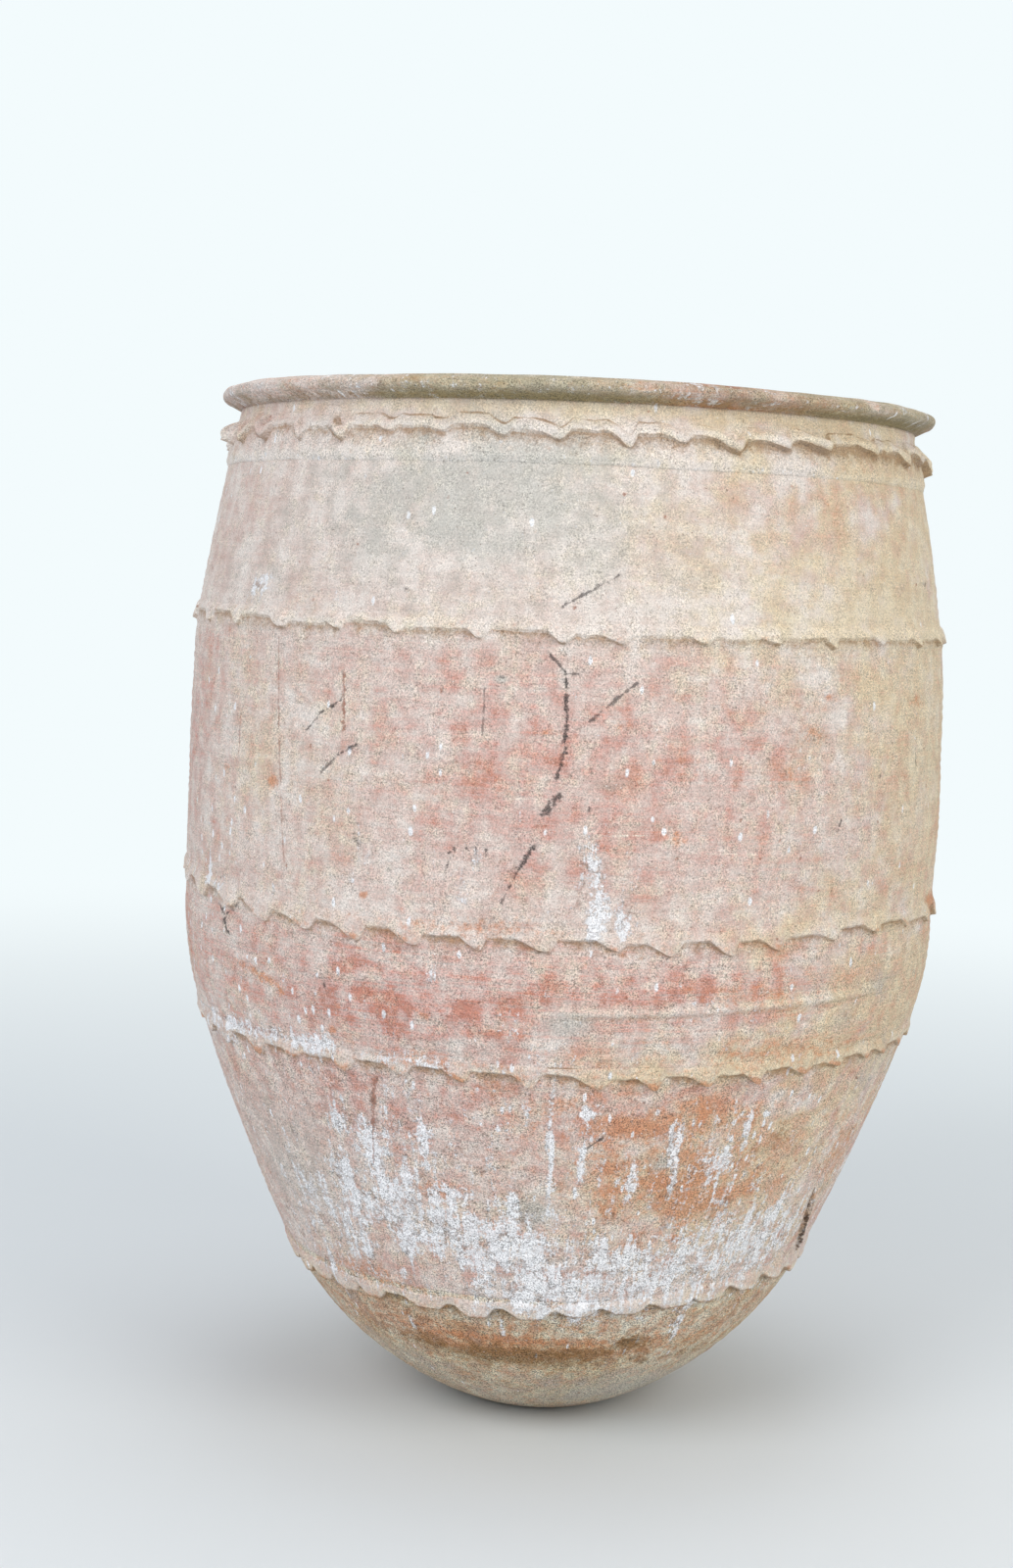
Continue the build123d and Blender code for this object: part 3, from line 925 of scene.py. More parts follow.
def shapeBand(name, degrees, radius, height, stations):
    shape = bandShape[name]
    kinds = bandStations()
    number = np.rint(stations).astype(int)
    kind = np.array([entry[0] for entry in kinds])[number]
    share = np.array([entry[1] for entry in kinds])[number]
    lip, proud, tongue, smeared = bandLip(degrees, shape)
    low = knotLine(degrees, shape["low"])
    flat = np.zeros_like(degrees)
    ragged = lumps(degrees, flat, 40, 1, bandNoise)
    top = low + shape["dip"] + shape["reach"] + 2.0 * ragged
    if "roll" in shape:
        top = lip + shape["roll"] + 1.5 * ragged
    buried = bandSection["buried"]
    # the face rises from the lip, full on a tongue and thinner between, and runs out at the top
    up = lip + 0.8 + share ** 0.9 * (top - lip - 0.8)
    belt = proud * (1 - share) ** 0.8
    thumb = proud * np.clip(1 - share ** 2.2, 0, 1) ** 0.8
    out = belt + (thumb - belt) * tongue * 0.8
    if "roll" in shape:
        dome = np.sin(np.pi * (0.14 + 0.8 * np.clip(share, 0, 1))) ** 0.6
        out = proud * dome * (0.45 + 0.55 * tongue) + 0.45 * belt * (1 - tongue)
    runOut = smooth((share - 0.86) / 0.14)
    out = np.maximum(out, shape["thin"] * 0.3 * (1 - runOut)) - 0.5 * runOut
    isUnder = kind == "under"
    isBack = kind == "back"
    isTop = kind == "top"
    # the thumb's hollow below the lip runs out into the wall, steeper under a tongue
    scoop = bandSection["scoop"] * shape["shade"] * (1 - 0.6 * tongue)
    up = np.where(isUnder, lip + 0.5 - scoop * (1 - share) ** 1.3, up)
    out = np.where(isUnder, (proud + 0.5) * share ** 1.6 - 0.5, out)
    up = np.where(isBack, lip + 2.2, up)
    out = np.where(isBack, -buried, out)
    overTop = np.where(share == 0, 1.0, np.where(share == 1, -2.0, (lip - top) * 0.5))
    up = np.where(isTop, top + overTop, up)
    out = np.where(isTop, np.where(share == 0, -1.1, -buried), out)
    lean = shape["lean"]
    newHeight = shape["joint"] + up * math.cos(lean)
    rough = lumps(degrees, newHeight, 11, 8, bandNoise)
    rough += 0.6 * lumps(degrees, newHeight, 5, 4, bandNoise)
    onFace = (kind == "face") & (share < 0.9)
    out = out + np.where(onFace, bandSection["lump"] * rough, 0)
    if name == "neck_band":
        # it lies on the flat strip, as far up as that reaches
        out = out + collarRise(newHeight)
    newRadius = outerRadius(newHeight) + outerOffset(degrees, newHeight) + out * math.cos(lean)
    newHeight = newHeight - out * math.sin(lean)
    marks = weatherAndPaintedLightAt(degrees, newHeight)
    nose = np.where(kind == "face", hump((share - 0.1) / 0.25), np.where(isUnder, share, 0))
    # painted shade mixed with dirt: the lip's underside and back are darkened, and outline draws a dark line
    # along the lip's edge on the face
    outline = shape["outline"] * 0.8 * (1 - smooth(share / 0.14))
    dark = np.where(isUnder, 1.0 - 0.35 * share, np.where(isBack, 1.0, outline))
    marks["cream"] += shape["pale"] * nose + 0.08
    marks["ochre"] += shape["yellow"] * (0.5 + nose)
    dirtAndShade = knotLine(degrees, shape["dirtAndShade"])
    marks["grimeAndShade"] = dirtAndShade * dark * np.clip(0.5 + 0.5 * proud / shape["thick"], 0, 1) * (1 - smeared)
    if "topDirt" in shape:
        crease = np.where(kind == "face", smooth((share - 0.62) / 0.26), np.where(isTop, 1.0, 0))
        broken = np.clip(0.75 + 0.9 * lumps(degrees, flat, 12, 1, bandNoise), 0, 1.2)
        marks["grimeAndShade"] = np.maximum(marks["grimeAndShade"], knotLine(degrees, shape["topDirt"]) * crease * broken)
    leftEdge = tongue * hump((share - 0.05) / 0.2) * (kind == "face")
    patchy = 0.7 + 1.2 * lumps(degrees, newHeight, 26, 20, bandNoise)
    marks["rust"] += shape["rusty"] * leftEdge * patchy
    marks["inside"] = np.zeros(len(degrees))
    return newRadius, newHeight, marks


for name in bandShape:
    spinBand(name)


# clay: shader groups
def tint(red, green, blue):
    channels = []
    for channel in (red, green, blue):
        share = channel / 255
        channels.append(share / 12.92 if share <= 0.04045 else ((share + 0.055) / 1.055) ** 2.4)
    return (*channels, 1)


def plug(tree, socket, value):
    if isinstance(value, bpy.types.NodeSocket):
        tree.links.new(value, socket)
    else:
        socket.default_value = value


def calc(tree, operation, first, second=None, clamp=False):
    node = tree.nodes.new("ShaderNodeMath")
    node.operation = operation
    node.use_clamp = clamp
    plug(tree, node.inputs[0], first)
    if second is not None:
        plug(tree, node.inputs[1], second)
    return node.outputs[0]


def vectorCalc(tree, operation, first, second=None, output="Vector"):
    node = tree.nodes.new("ShaderNodeVectorMath")
    node.operation = operation
    plug(tree, node.inputs[0], first)
    if second is not None:
        plug(tree, node.inputs["Scale" if operation == "SCALE" else 1], second)
    return node.outputs[output]


def noise(tree, vector, scale, detail=2.0, roughness=0.5, distortion=0.0, output="Fac"):
    node = tree.nodes.new("ShaderNodeTexNoise")
    plug(tree, node.inputs["Vector"], vector)
    node.inputs["Scale"].default_value = scale
    node.inputs["Detail"].default_value = detail
    node.inputs["Roughness"].default_value = roughness
    node.inputs["Distortion"].default_value = distortion
    return node.outputs[output]


def voronoi(tree, vector, scale, feature="F1"):
    node = tree.nodes.new("ShaderNodeTexVoronoi")
    node.feature = feature
    plug(tree, node.inputs["Vector"], vector)
    node.inputs["Scale"].default_value = scale
    return node.outputs


def combine(tree, *parts):
    node = tree.nodes.new("ShaderNodeCombineXYZ")
    for socket, part in zip(node.inputs, parts):
        plug(tree, socket, part)
    return node.outputs[0]


def firstChannel(tree, colour):
    node = tree.nodes.new("ShaderNodeSeparateColor")
    plug(tree, node.inputs[0], colour)
    return node.outputs[0]


def ramp(tree, value, low, high, toLow=0.0, toHigh=1.0):
    node = tree.nodes.new("ShaderNodeMapRange")
    node.interpolation_type = "SMOOTHSTEP"
    entries = {"Value": value, "From Min": low, "From Max": high, "To Min": toLow, "To Max": toHigh}
    for label, entry in entries.items():
        plug(tree, node.inputs[label], entry)
    return node.outputs["Result"]


def blendColour(tree, share, first, second):
    node = tree.nodes.new("ShaderNodeMix")
    node.data_type = "RGBA"
    plug(tree, node.inputs[0], share)
    plug(tree, node.inputs[6], first)
    plug(tree, node.inputs[7], second)
    return node.outputs[2]


def mixShaders(tree, share, first, second, output):
    node = tree.nodes.new("ShaderNodeMixShader")
    plug(tree, node.inputs[0], share)
    plug(tree, node.inputs[1], first)
    plug(tree, node.inputs[2], second)
    plug(tree, tree.nodes[output].inputs["Surface"], node.outputs[0])


def newGroup(name, inputs, outputs, outputKind="Float"):
    # inputs are numbers with a default, or vectors where that is None
    tree = bpy.data.node_groups.new(name, "ShaderNodeTree")
    for label, value in inputs.items():
        kind = "Vector" if value is None else "Float"
        socket = tree.interface.new_socket(label, in_out="INPUT", socket_type="NodeSocket" + kind)
        if value is not None:
            socket.default_value = value
    for label in outputs:
        tree.interface.new_socket(label, in_out="OUTPUT", socket_type="NodeSocket" + outputKind)
    given = tree.nodes.new("NodeGroupInput").outputs
    made = tree.nodes.new("NodeGroupOutput").inputs
    return tree, given, made


def useGroup(tree, group, **values):
    node = tree.nodes.new("ShaderNodeGroup")
    node.node_tree = group
    for label, value in values.items():
        plug(tree, node.inputs[label], value)
    return node.outputs


def makePlacesGroup():
    # where on the jar: a direction and height that follow the wall, and mm round and up from the front
    tree, given, made = newGroup("places on jar", {"Point": None}, ["Around", "Spot"], "Vector")
    split = tree.nodes.new("ShaderNodeSeparateXYZ")
    plug(tree, split.inputs[0], given["Point"])
    side, back, up = split.outputs
    outward = vectorCalc(tree, "NORMALIZE", combine(tree, side, back, 0.0))
    outward = vectorCalc(tree, "SCALE", outward, meanRadius * mm)
    plug(tree, made["Around"], vectorCalc(tree, "ADD", outward, combine(tree, 0.0, 0.0, up)))
    turn = calc(tree, "ARCTAN2", side, calc(tree, "MULTIPLY", back, -1.0))
    across = calc(tree, "MULTIPLY", turn, spotRadius)
    plug(tree, made["Spot"], combine(tree, across, calc(tree, "MULTIPLY", up, 1 / mm), 0.0))
    return tree


def makeGrainGroup():
    # coarse clay: fine grain, dark and white grit, and now and then a red crumb
    outputs = ["Grain", "Sand", "Dark Grit", "White Grit", "Red Crumb"]
    tree, given, made = newGroup("clay grain", {"Point": None}, outputs)
    plug(tree, made["Grain"], noise(tree, given["Point"], 330.0, 4.0, 0.75))
    plug(tree, made["Sand"], noise(tree, given["Point"], 850.0, 2.0, 0.7))
    moved = vectorCalc(tree, "ADD", given["Point"], (3.1, 0.0, 0.0))
    plug(tree, made["Dark Grit"], ramp(tree, noise(tree, moved, 560.0, 3.0, 0.65), 0.645, 0.71))
    moved = vectorCalc(tree, "ADD", given["Point"], (0.0, 5.3, 0.0))
    plug(tree, made["White Grit"], ramp(tree, noise(tree, moved, 380.0, 4.0, 0.75), 0.63, 0.71))
    cells = voronoi(tree, given["Point"], 62.0)
    ragged = calc(tree, "MULTIPLY", noise(tree, given["Point"], 420.0, 3.0, 0.6), 0.34)
    dot = ramp(tree, calc(tree, "ADD", cells["Distance"], ragged), 0.28, 0.2)
    chosen = calc(tree, "GREATER_THAN", firstChannel(tree, cells["Color"]), 0.72)
    plug(tree, made["Red Crumb"], calc(tree, "MULTIPLY", dot, chosen))
    return tree


def makeThrowGroup():
    # level lines and brushed smears left by the wet hand as the jar turned, and washes down the wall
    stretches = {"Lines": (9.0, 620.0, 3.0), "Washes": (95.0, 13.0, 6.0), "Smears": (34.0, 210.0, 6.0)}
    tree, given, made = newGroup("throwing lines", {"Around": None}, stretches)
    for label, (across, upright, detail) in stretches.items():
        stretched = vectorCalc(tree, "MULTIPLY", given["Around"], (across, across, upright))
        plug(tree, made[label], noise(tree, stretched, 1.0, detail, 0.68))
    return tree


def makePatchGroup():
    # a soft amount broken up into a ragged patch, for stains and for painted shade
    inputs = {"Amount": 0.5, "Noise": 0.5, "Spread": 1.0, "Soft": 0.2}
    tree, given, made = newGroup("ragged stain", inputs, ["Mask"])
    pushed = calc(tree, "MULTIPLY", calc(tree, "SUBTRACT", given["Noise"], 0.5), given["Spread"])
    total = calc(tree, "ADD", given["Amount"], pushed)
    low = calc(tree, "SUBTRACT", 0.5, given["Soft"])
    high = calc(tree, "ADD", 0.5, given["Soft"])
    plug(tree, made["Mask"], ramp(tree, total, low, high))
    return tree


def makeLimeGroup():
    # lime that ran down the wall: upright drips, blotches and splashes
    tree, given, made = newGroup("lime runs", {"Around": None, "Point": None, "Amount": 0.3}, ["Mask"])
    stretched = vectorCalc(tree, "MULTIPLY", given["Around"], (120.0, 120.0, 15.0))
    runs = noise(tree, stretched, 1.0, 5.0, 0.7, 0.5)
    blots = noise(tree, given["Point"], 62.0, 7.0, 0.72)
    fine = noise(tree, given["Point"], 240.0, 5.0, 0.75)
    mixed = calc(tree, "ADD", calc(tree, "MULTIPLY", runs, 0.5), calc(tree, "MULTIPLY", blots, 0.4))
    mixed = calc(tree, "ADD", mixed, calc(tree, "MULTIPLY", fine, 0.55))
    amount = calc(tree, "MULTIPLY", calc(tree, "MINIMUM", given["Amount"], 0.95), 0.26)
    plug(tree, made["Mask"], ramp(tree, calc(tree, "ADD", mixed, amount), 0.865, 0.975))
    return tree


def makeFleckGroup():
    # drops of lime, a little longer than wide
    tree, given, made = newGroup("lime flecks", {"Around": None, "Noise": 0.5, "Amount": 0.1}, ["Mask"])
    cells = voronoi(tree, vectorCalc(tree, "MULTIPLY", given["Around"], (110.0, 110.0, 52.0)), 1.0)
    ragged = calc(tree, "MULTIPLY", given["Noise"], 0.4)
    drop = ramp(tree, calc(tree, "ADD", cells["Distance"], ragged), 0.42, 0.32)
    limit = calc(tree, "MULTIPLY", given["Amount"], 0.85)
    there = calc(tree, "LESS_THAN", firstChannel(tree, cells["Color"]), limit)
    plug(tree, made["Mask"], calc(tree, "MULTIPLY", drop, there))
    return tree


def makeCrackGroup():
    # short hair cracks and flaked edges where the clay's skin has weathered
    tree, given, made = newGroup("hair cracks", {"Point": None, "Amount": 0.3}, ["Mask"])
    shift = noise(tree, given["Point"], 90.0, 4.0, output="Color")
    bend = vectorCalc(tree, "SCALE", vectorCalc(tree, "SUBTRACT", shift, (0.5, 0.5, 0.5)), 0.03)
    cells = voronoi(tree, vectorCalc(tree, "ADD", given["Point"], bend), 46.0, "DISTANCE_TO_EDGE")
    line = ramp(tree, cells["Distance"], 0.045, 0.015)
    patchy = noise(tree, given["Point"], 48.0, 4.0, 0.6)
    patchy = calc(tree, "ADD", patchy, calc(tree, "MULTIPLY", given["Amount"], 0.25))
    plug(tree, made["Mask"], calc(tree, "MULTIPLY", line, ramp(tree, patchy, 0.68, 0.76)))
    return tree


def makeStrokeGroup():
    # one rubbed line between two places, in mm round and up, broken by the grain of the clay
    inputs = {
        "Spot": None, "Grain": 0.5, "Sand": 0.5, "From": None, "To": None, "Width": 2.0, "Strength": 1.0,
    }
    tree, given, made = newGroup("rubbed line", inputs, ["Mask"])
    along = vectorCalc(tree, "SUBTRACT", given["To"], given["From"])
    away = vectorCalc(tree, "SUBTRACT", given["Spot"], given["From"])
    reached = vectorCalc(tree, "DOT_PRODUCT", away, along, "Value")
    share = calc(tree, "DIVIDE", reached, vectorCalc(tree, "DOT_PRODUCT", along, along, "Value"), True)
    beside = vectorCalc(tree, "SUBTRACT", away, vectorCalc(tree, "SCALE", along, share))
    distance = vectorCalc(tree, "LENGTH", beside, None, "Value")
    rough = calc(tree, "SUBTRACT", given["Grain"], 0.46)
    rough = calc(tree, "MULTIPLY", rough, calc(tree, "MULTIPLY", given["Width"], 6.0))
    distance = calc(tree, "ADD", distance, rough)
    mask = ramp(tree, distance, given["Width"], calc(tree, "MULTIPLY", given["Width"], 0.35))
    mask = calc(tree, "MULTIPLY", mask, ramp(tree, given["Sand"], 0.4, 0.52, 0.5, 1.0))
    plug(tree, made["Mask"], calc(tree, "MULTIPLY", mask, given["Strength"]))
    return tree


placesGroup = makePlacesGroup()
grainGroup = makeGrainGroup()
throwGroup = makeThrowGroup()
patchGroup = makePatchGroup()
limeGroup = makeLimeGroup()
fleckGroup = makeFleckGroup()
crackGroup = makeCrackGroup()
strokeGroup = makeStrokeGroup()
print("shader groups ready")


# clay: materials
clayColours = {
    "lime": tint(242, 243, 247),
    "grey": tint(192, 191, 184),
    "lichen": tint(158, 152, 130),
    "ochre": tint(206, 178, 142),
    "rust": tint(197, 129, 88),
    # the grime, moss and stain colours paint dirt and also painted shade below the band lips and ridges and
    # under the rim
    "grimeAndShade": tint(148, 114, 78),
    "dust": tint(216, 204, 189),
    "mossAndShade": tint(134, 120, 82),
    "soot": tint(58, 54, 54),
    "drip": tint(156, 104, 84),
    "redGrit": tint(156, 102, 80),
    "grit": tint(116, 88, 70),
    "crack": tint(128, 98, 80),
    "scratch": tint(236, 228, 212),
    "stainAndShade": tint(120, 94, 56),
    "ember": tint(206, 132, 82),
    "split": tint(82, 60, 46),
}
# five shades of each clay, from pale bloom to bare red
shadePlaces = (0.0, 0.3, 0.55, 0.8, 1.0)
wallClays = [(229, 219, 212), (219, 202, 194), (210, 184, 176), (206, 163, 154), (192, 132, 117)]
sunnyClays = [(229, 217, 192), (219, 201, 173), (213, 184, 161), (212, 162, 138), (196, 132, 106)]
rimClays = [(224, 212, 205), (206, 187, 178), (190, 163, 151), (172, 134, 118), (144, 98, 78)]
oliveClays = [(206, 200, 176), (186, 176, 146), (168, 150, 118), (150, 122, 90), (120, 88, 60)]
footClays = [(220, 212, 196), (209, 190, 168), (201, 168, 144), (187, 141, 113), (156, 110, 82)]
soilClays = [(212, 202, 172), (199, 178, 141), (189, 155, 117), (167, 122, 80), (138, 96, 58)]
# rubbed lines on the wall: from and to (degrees, height), half width, strength
rubbedLines = {
    "soot": [
        (-2.1, 685.5, 5.3, 708.5, 2.0, 0.8), (-3.6, 650.5, -1.4, 638, 1.8, 0.85),
        (-1.4, 637, 0.2, 637, 1.4, 0.8), (-1.4, 638, -1.0, 604, 2.4, 0.95),
        (-1.0, 604, -1.2, 580, 3.0, 0.95), (-1.2, 580, -2.0, 562, 2.3, 0.9),
        (-1.5, 550, -3.3, 535, 3.9, 0.9), (-4.6, 512.5, -6.4, 494, 3.0, 0.95),
        (-6.4, 494, -8.6, 469, 2.1, 0.85), (1.9, 603, 8.0, 632, 1.8, 0.8),
        (-38.5, 584.5, -36.2, 598, 1.6, 0.85), (-36.2, 598, -32.2, 611, 1.8, 0.9),
        (-35.4, 554, -32.8, 568, 2.1, 0.75), (-32.8, 568, -30.0, 577, 2.4, 0.9),
        (-12.0, 624, -12.0, 590, 1.2, 0.65), (-58.0, 437.5, -55.8, 430, 2.5, 0.95),
        (-55.8, 430, -56.5, 422.5, 2.9, 0.95), (-56.5, 422.5, -55.0, 418, 2.4, 0.9),
        (-29.8, 508.5, -29.0, 503.5, 2.8, 0.95), (-15.3, 505.5, -15.7, 503, 2.2, 0.9),
        (-15.7, 498, -16.0, 494, 2.4, 0.95), (-12.2, 508, -12.1, 503, 1.2, 0.8),
        (-10.9, 507, -10.9, 502.5, 1.2, 0.8), (-13.6, 507, -13.0, 505, 1.2, 0.8),
        (40.3, 532, 39.6, 524, 1.3, 0.95), (59.2, 583, 59.4, 569, 0.9, 0.9),
        (15.8, 306, 17.2, 309, 1.6, 0.9), (4.9, 282, 7.0, 290, 1.4, 0.9),
        (-52.6, 442.5, -54.0, 437, 2.6, 0.9), (-54.0, 437, -56.0, 431.5, 2.0, 0.85),
    ],
    "drip": [
        (-32.7, 630, -32.3, 604, 2.1, 0.85), (-32.3, 606, -32.1, 592, 2.8, 0.9),
        (-32.2, 592, -32.1, 588, 3.6, 0.9), (-27.6, 324, -28.4, 302, 4.4, 0.85),
        (-28.4, 302, -29.2, 285, 3.4, 0.8), (-0.6, 160, -1.2, 176, 1.8, 0.6),
        (-29.2, 285, -30.6, 250, 1.3, 0.7), (-45.2, 652, -42.0, 482, 1.2, 0.6),
        (-53.0, 594, -53.2, 560, 1.0, 0.6), (14.8, 322, 15.2, 290, 1.0, 0.4),
        (-34.4, 386, -34.7, 371, 0.9, 0.6),
    ],
    "ember": [
        (-53, 397, -48, 392, 5.0, 0.45), (-48, 392, -44.7, 389, 6.0, 0.75),
        (-44.7, 389, -42.5, 381.5, 5.0, 0.75),
    ],
    "split": [
        (56.6, 221, 57.6, 205, 1.5, 0.95), (57.6, 205, 59.0, 192, 2.1, 1.0),
        (59.0, 192, 61.5, 175, 2.2, 1.0), (61.5, 175, 64.0, 162, 2.0, 1.0),
        (64.0, 162, 66.2, 149, 1.5, 0.95),
    ],
    "scratch": [
        (5.4, 521, 10.3, 522, 0.7, 0.8), (15.4, 509.5, 26.2, 508, 0.6, 0.7),
        (-8, 545, -3, 546, 0.6, 0.5), (30, 541, 36, 540.5, 0.6, 0.5),
    ],
}


def toSpot(degrees, height):
    return (math.radians(degrees) * spotRadius, height, 0.0)


def mark(tree, name):
    node = tree.nodes.new("ShaderNodeAttribute")
    node.attribute_name = name
    return node.outputs["Fac"]


def linesOn(name):
    # only the lines that cross this piece, so that no material carries them all
    margin = 4
    low, high = (corner.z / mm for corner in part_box(name))
    found = {}
    for kind, strokes in rubbedLines.items():
        for stroke in strokes:
            ends = (stroke[1], stroke[3])
            if min(ends) < high + margin and max(ends) > low - margin:
                found.setdefault(kind, []).append(stroke)
    return found


def clayMaterial(name, look, strokesByKind):
    material = bpy.data.materials.new(name)
    material.use_nodes = True
    tree = material.node_tree
    shader = tree.nodes["Principled BSDF"]
    point = tree.nodes.new("ShaderNodeTexCoord").outputs["Object"]
    places = useGroup(tree, placesGroup, Point=point)
    grain = useGroup(tree, grainGroup, Point=point)
    lines = useGroup(tree, throwGroup, Around=places["Around"])
    clouds = noise(tree, point, 17.0, 5.0, 0.6)
    blotch = noise(tree, point, 60.0, 3.0, 0.55, 0.2)
    ragged = noise(tree, point, 60.0, 7.0, 0.7, 0.2)
    finer = noise(tree, point, 170.0, 6.0, 0.75)
    dusty = noise(tree, vectorCalc(tree, "ADD", point, (0.0, 0.0, 4.7)), 74.0, 7.0, 0.74)

    def addUp(start, *parts):
        total = start
        for source, share in parts:
            part = calc(tree, "MULTIPLY", calc(tree, "SUBTRACT", source, 0.5), share)
            total = calc(tree, "ADD", total, part)
        return total

    def stainAndShade(kind, spread, soft, source, extra=0.0):
        amount = calc(tree, "ADD", mark(tree, kind), extra)
        return useGroup(tree, patchGroup, Amount=amount, Noise=source, Spread=spread, Soft=soft)["Mask"]

    def cover(under, mask, share, shade):
        return blendColour(tree, calc(tree, "MULTIPLY", mask, share), under, shade)

    def clayShade(warmth, clays):
        node = tree.nodes.new("ShaderNodeValToRGB")
        steps = node.color_ramp.elements
        while len(steps) < len(clays):
            steps.new(0.5)
        for step, place, shade in zip(steps, shadePlaces, clays):
            step.position = place
            step.color = tint(*shade)
        plug(tree, node.inputs[0], warmth)
        return node.outputs[0]

    # body of the clay: from pale bloom to bare red by patches and by grain, pinker or yellower by clouds
    mottle = look["mottle"]
    streak = look["streak"]
    warmth = addUp(
        look["warmth"], (mark(tree, "pink"), 0.75), (mark(tree, "cream"), -0.6), (clouds, 0.8),
        (blotch, 0.6 * mottle), (ragged, 0.7 * mottle), (finer, look["speckle"]),
        (lines["Smears"], 0.5 * streak), (lines["Washes"], look["wash"]),
        (lines["Lines"], 0.35 * streak * streak), (grain["Grain"], 0.35),
    )
    # yellower where the ochre mark is strong; on the right side that partly stands for painted warm light
    sunny = ramp(tree, addUp(mark(tree, "ochre"), (clouds, 1.4), (dusty, 1.0)), 0.1, 0.82)
    base = blendColour(tree, sunny, clayShade(warmth, look["clays"]), clayShade(warmth, look["sunny"]))
    colour = clayColours
    base = blendColour(tree, ramp(tree, dusty, 0.5, 0.64, 0.0, look["dust"]), base, colour["dust"])
    base = cover(base, stainAndShade("ochre", 1.3, 0.45, ragged), 0.3, colour["ochre"])
    base = cover(base, stainAndShade("rust", 1.9, 0.3, finer, look["rust"]), 0.7, colour["rust"])
    grey = stainAndShade("grey", 1.5, 0.35, ragged, look["grey"])
    base = cover(base, grey, look["greyCover"], look["greyColour"])
    around = places["Around"]
    lime = useGroup(tree, limeGroup, Around=around, Point=point, Amount=mark(tree, "lime"))["Mask"]
    base = cover(base, lime, 0.88, colour["lime"])
    flecks = useGroup(tree, fleckGroup, Around=around, Noise=finer, Amount=mark(tree, "flecks"))["Mask"]
    base = cover(base, flecks, 0.85, colour["lime"])
    cracks = useGroup(tree, crackGroup, Point=point, Amount=mark(tree, "lime"))["Mask"]
    base = cover(base, cracks, look["cracked"], colour["crack"])
    # dirt, and painted shade below the band lips and ridges, on the lips' undersides and under the rim
    base = cover(base, stainAndShade("grimeAndShade", 1.6, 0.35, finer), 0.72, look["grimeAndShadeColour"])
    for kind, strokes in strokesByKind.items():
        total = 0.0
        for fromTurn, fromHeight, toTurn, toHeight, width, strength in strokes:
            stroke = useGroup(
                tree, strokeGroup, Spot=places["Spot"], Grain=finer, Sand=grain["Sand"],
                From=toSpot(fromTurn, fromHeight), To=toSpot(toTurn, toHeight),
                Width=width, Strength=strength,
            )
            total = calc(tree, "MAXIMUM", total, stroke["Mask"])
        base = blendColour(tree, total, base, colour[kind])
    base = cover(base, stainAndShade("soot", 1.5, 0.2, finer), 0.85, colour["soot"])
    for grit, shade in (("White Grit", "lime"), ("Red Crumb", "redGrit"), ("Dark Grit", "grit")):
        base = cover(base, grain[grit], 0.7, colour[shade])
    # light and dark grains of sand, stronger in some places than in others
    sand = look["sand"]
    rougher = ramp(tree, dusty, 0.38, 0.62, 0.6, 1.4)
    sandy = addUp(0.0, (grain["Grain"], 0.6 * sand), (grain["Sand"], 2.3 * sand), (finer, 0.5 * sand))
    sandy = calc(tree, "ADD", calc(tree, "MULTIPLY", sandy, rougher), 0.5)
    sandy = addUp(1.0, (lines["Lines"], 0.25 * streak * streak), (sandy, 1.0))
    sandy = calc(tree, "SUBTRACT", sandy, calc(tree, "MULTIPLY", mark(tree, "inside"), 0.16))
    sandy = calc(tree, "MINIMUM", calc(tree, "MAXIMUM", sandy, 0.35), 1.4)
    base = vectorCalc(tree, "SCALE", base, sandy)
    plug(tree, shader.inputs["Base Color"], base)
    plug(tree, shader.inputs["Roughness"], addUp(0.86, (ragged, 0.25)))
    shader.inputs["Specular IOR Level"].default_value = 0.25
    height = addUp(
        0.5, (grain["Grain"], 0.6), (grain["Sand"], 0.35), (lines["Lines"], 0.5), (finer, 0.5), (lime, 0.4),
        (grain["Dark Grit"], -0.6), (grain["White Grit"], 0.3), (cracks, -0.7),
    )
    bump = tree.nodes.new("ShaderNodeBump")
    bump.inputs["Strength"].default_value = 0.6
    bump.inputs["Distance"].default_value = look["bump"] * mm
    plug(tree, bump.inputs["Height"], height)
    plug(tree, shader.inputs["Normal"], bump.outputs["Normal"])
    return material


clayLooks = {
    "wall_clay": {
        "clays": wallClays, "sunny": sunnyClays, "warmth": 0.44, "speckle": 0.4, "sand": 0.7,
        "mottle": 1.0, "streak": 1.0, "wash": 0.6, "rust": 0.0, "grey": 0.0, "cracked": 0.4, "bump": 1.7,
        "dust": 0.45, "grimeAndShadeColour": clayColours["grimeAndShade"], "greyCover": 0.75,
        "greyColour": clayColours["grey"],
    },
    "band_clay": {
        "clays": wallClays, "sunny": sunnyClays, "warmth": 0.42, "speckle": 0.7, "sand": 0.9,
        "mottle": 0.9, "streak": 0.7, "wash": 0.4, "rust": 0.03, "grey": 0.0, "cracked": 0.15,
        "bump": 1.5, "dust": 0.45, "grimeAndShadeColour": clayColours["grimeAndShade"], "greyCover": 0.7,
        "greyColour": clayColours["grey"],
    },
    "rim_clay": {
        "clays": rimClays, "sunny": oliveClays, "warmth": 0.5, "speckle": 1.1, "sand": 1.2,
        "mottle": 0.9, "streak": 1.8, "wash": 0.2, "rust": 0.05, "grey": 0.05, "cracked": 0.4,
        "bump": 1.7, "dust": 0.2, "grimeAndShadeColour": clayColours["mossAndShade"], "greyCover": 0.8,
        "greyColour": clayColours["lichen"],
    },
    "foot_clay": {
        "clays": footClays, "sunny": soilClays, "warmth": 0.32, "speckle": 1.7, "sand": 2.6,
        "mottle": 2.2, "streak": 1.2, "wash": 0.4, "rust": 0.05, "grey": 0.05, "cracked": 0.6,
        "bump": 1.7, "dust": 0.3, "grimeAndShadeColour": clayColours["stainAndShade"], "greyCover": 0.7,
        "greyColour": clayColours["grey"],
    },
}
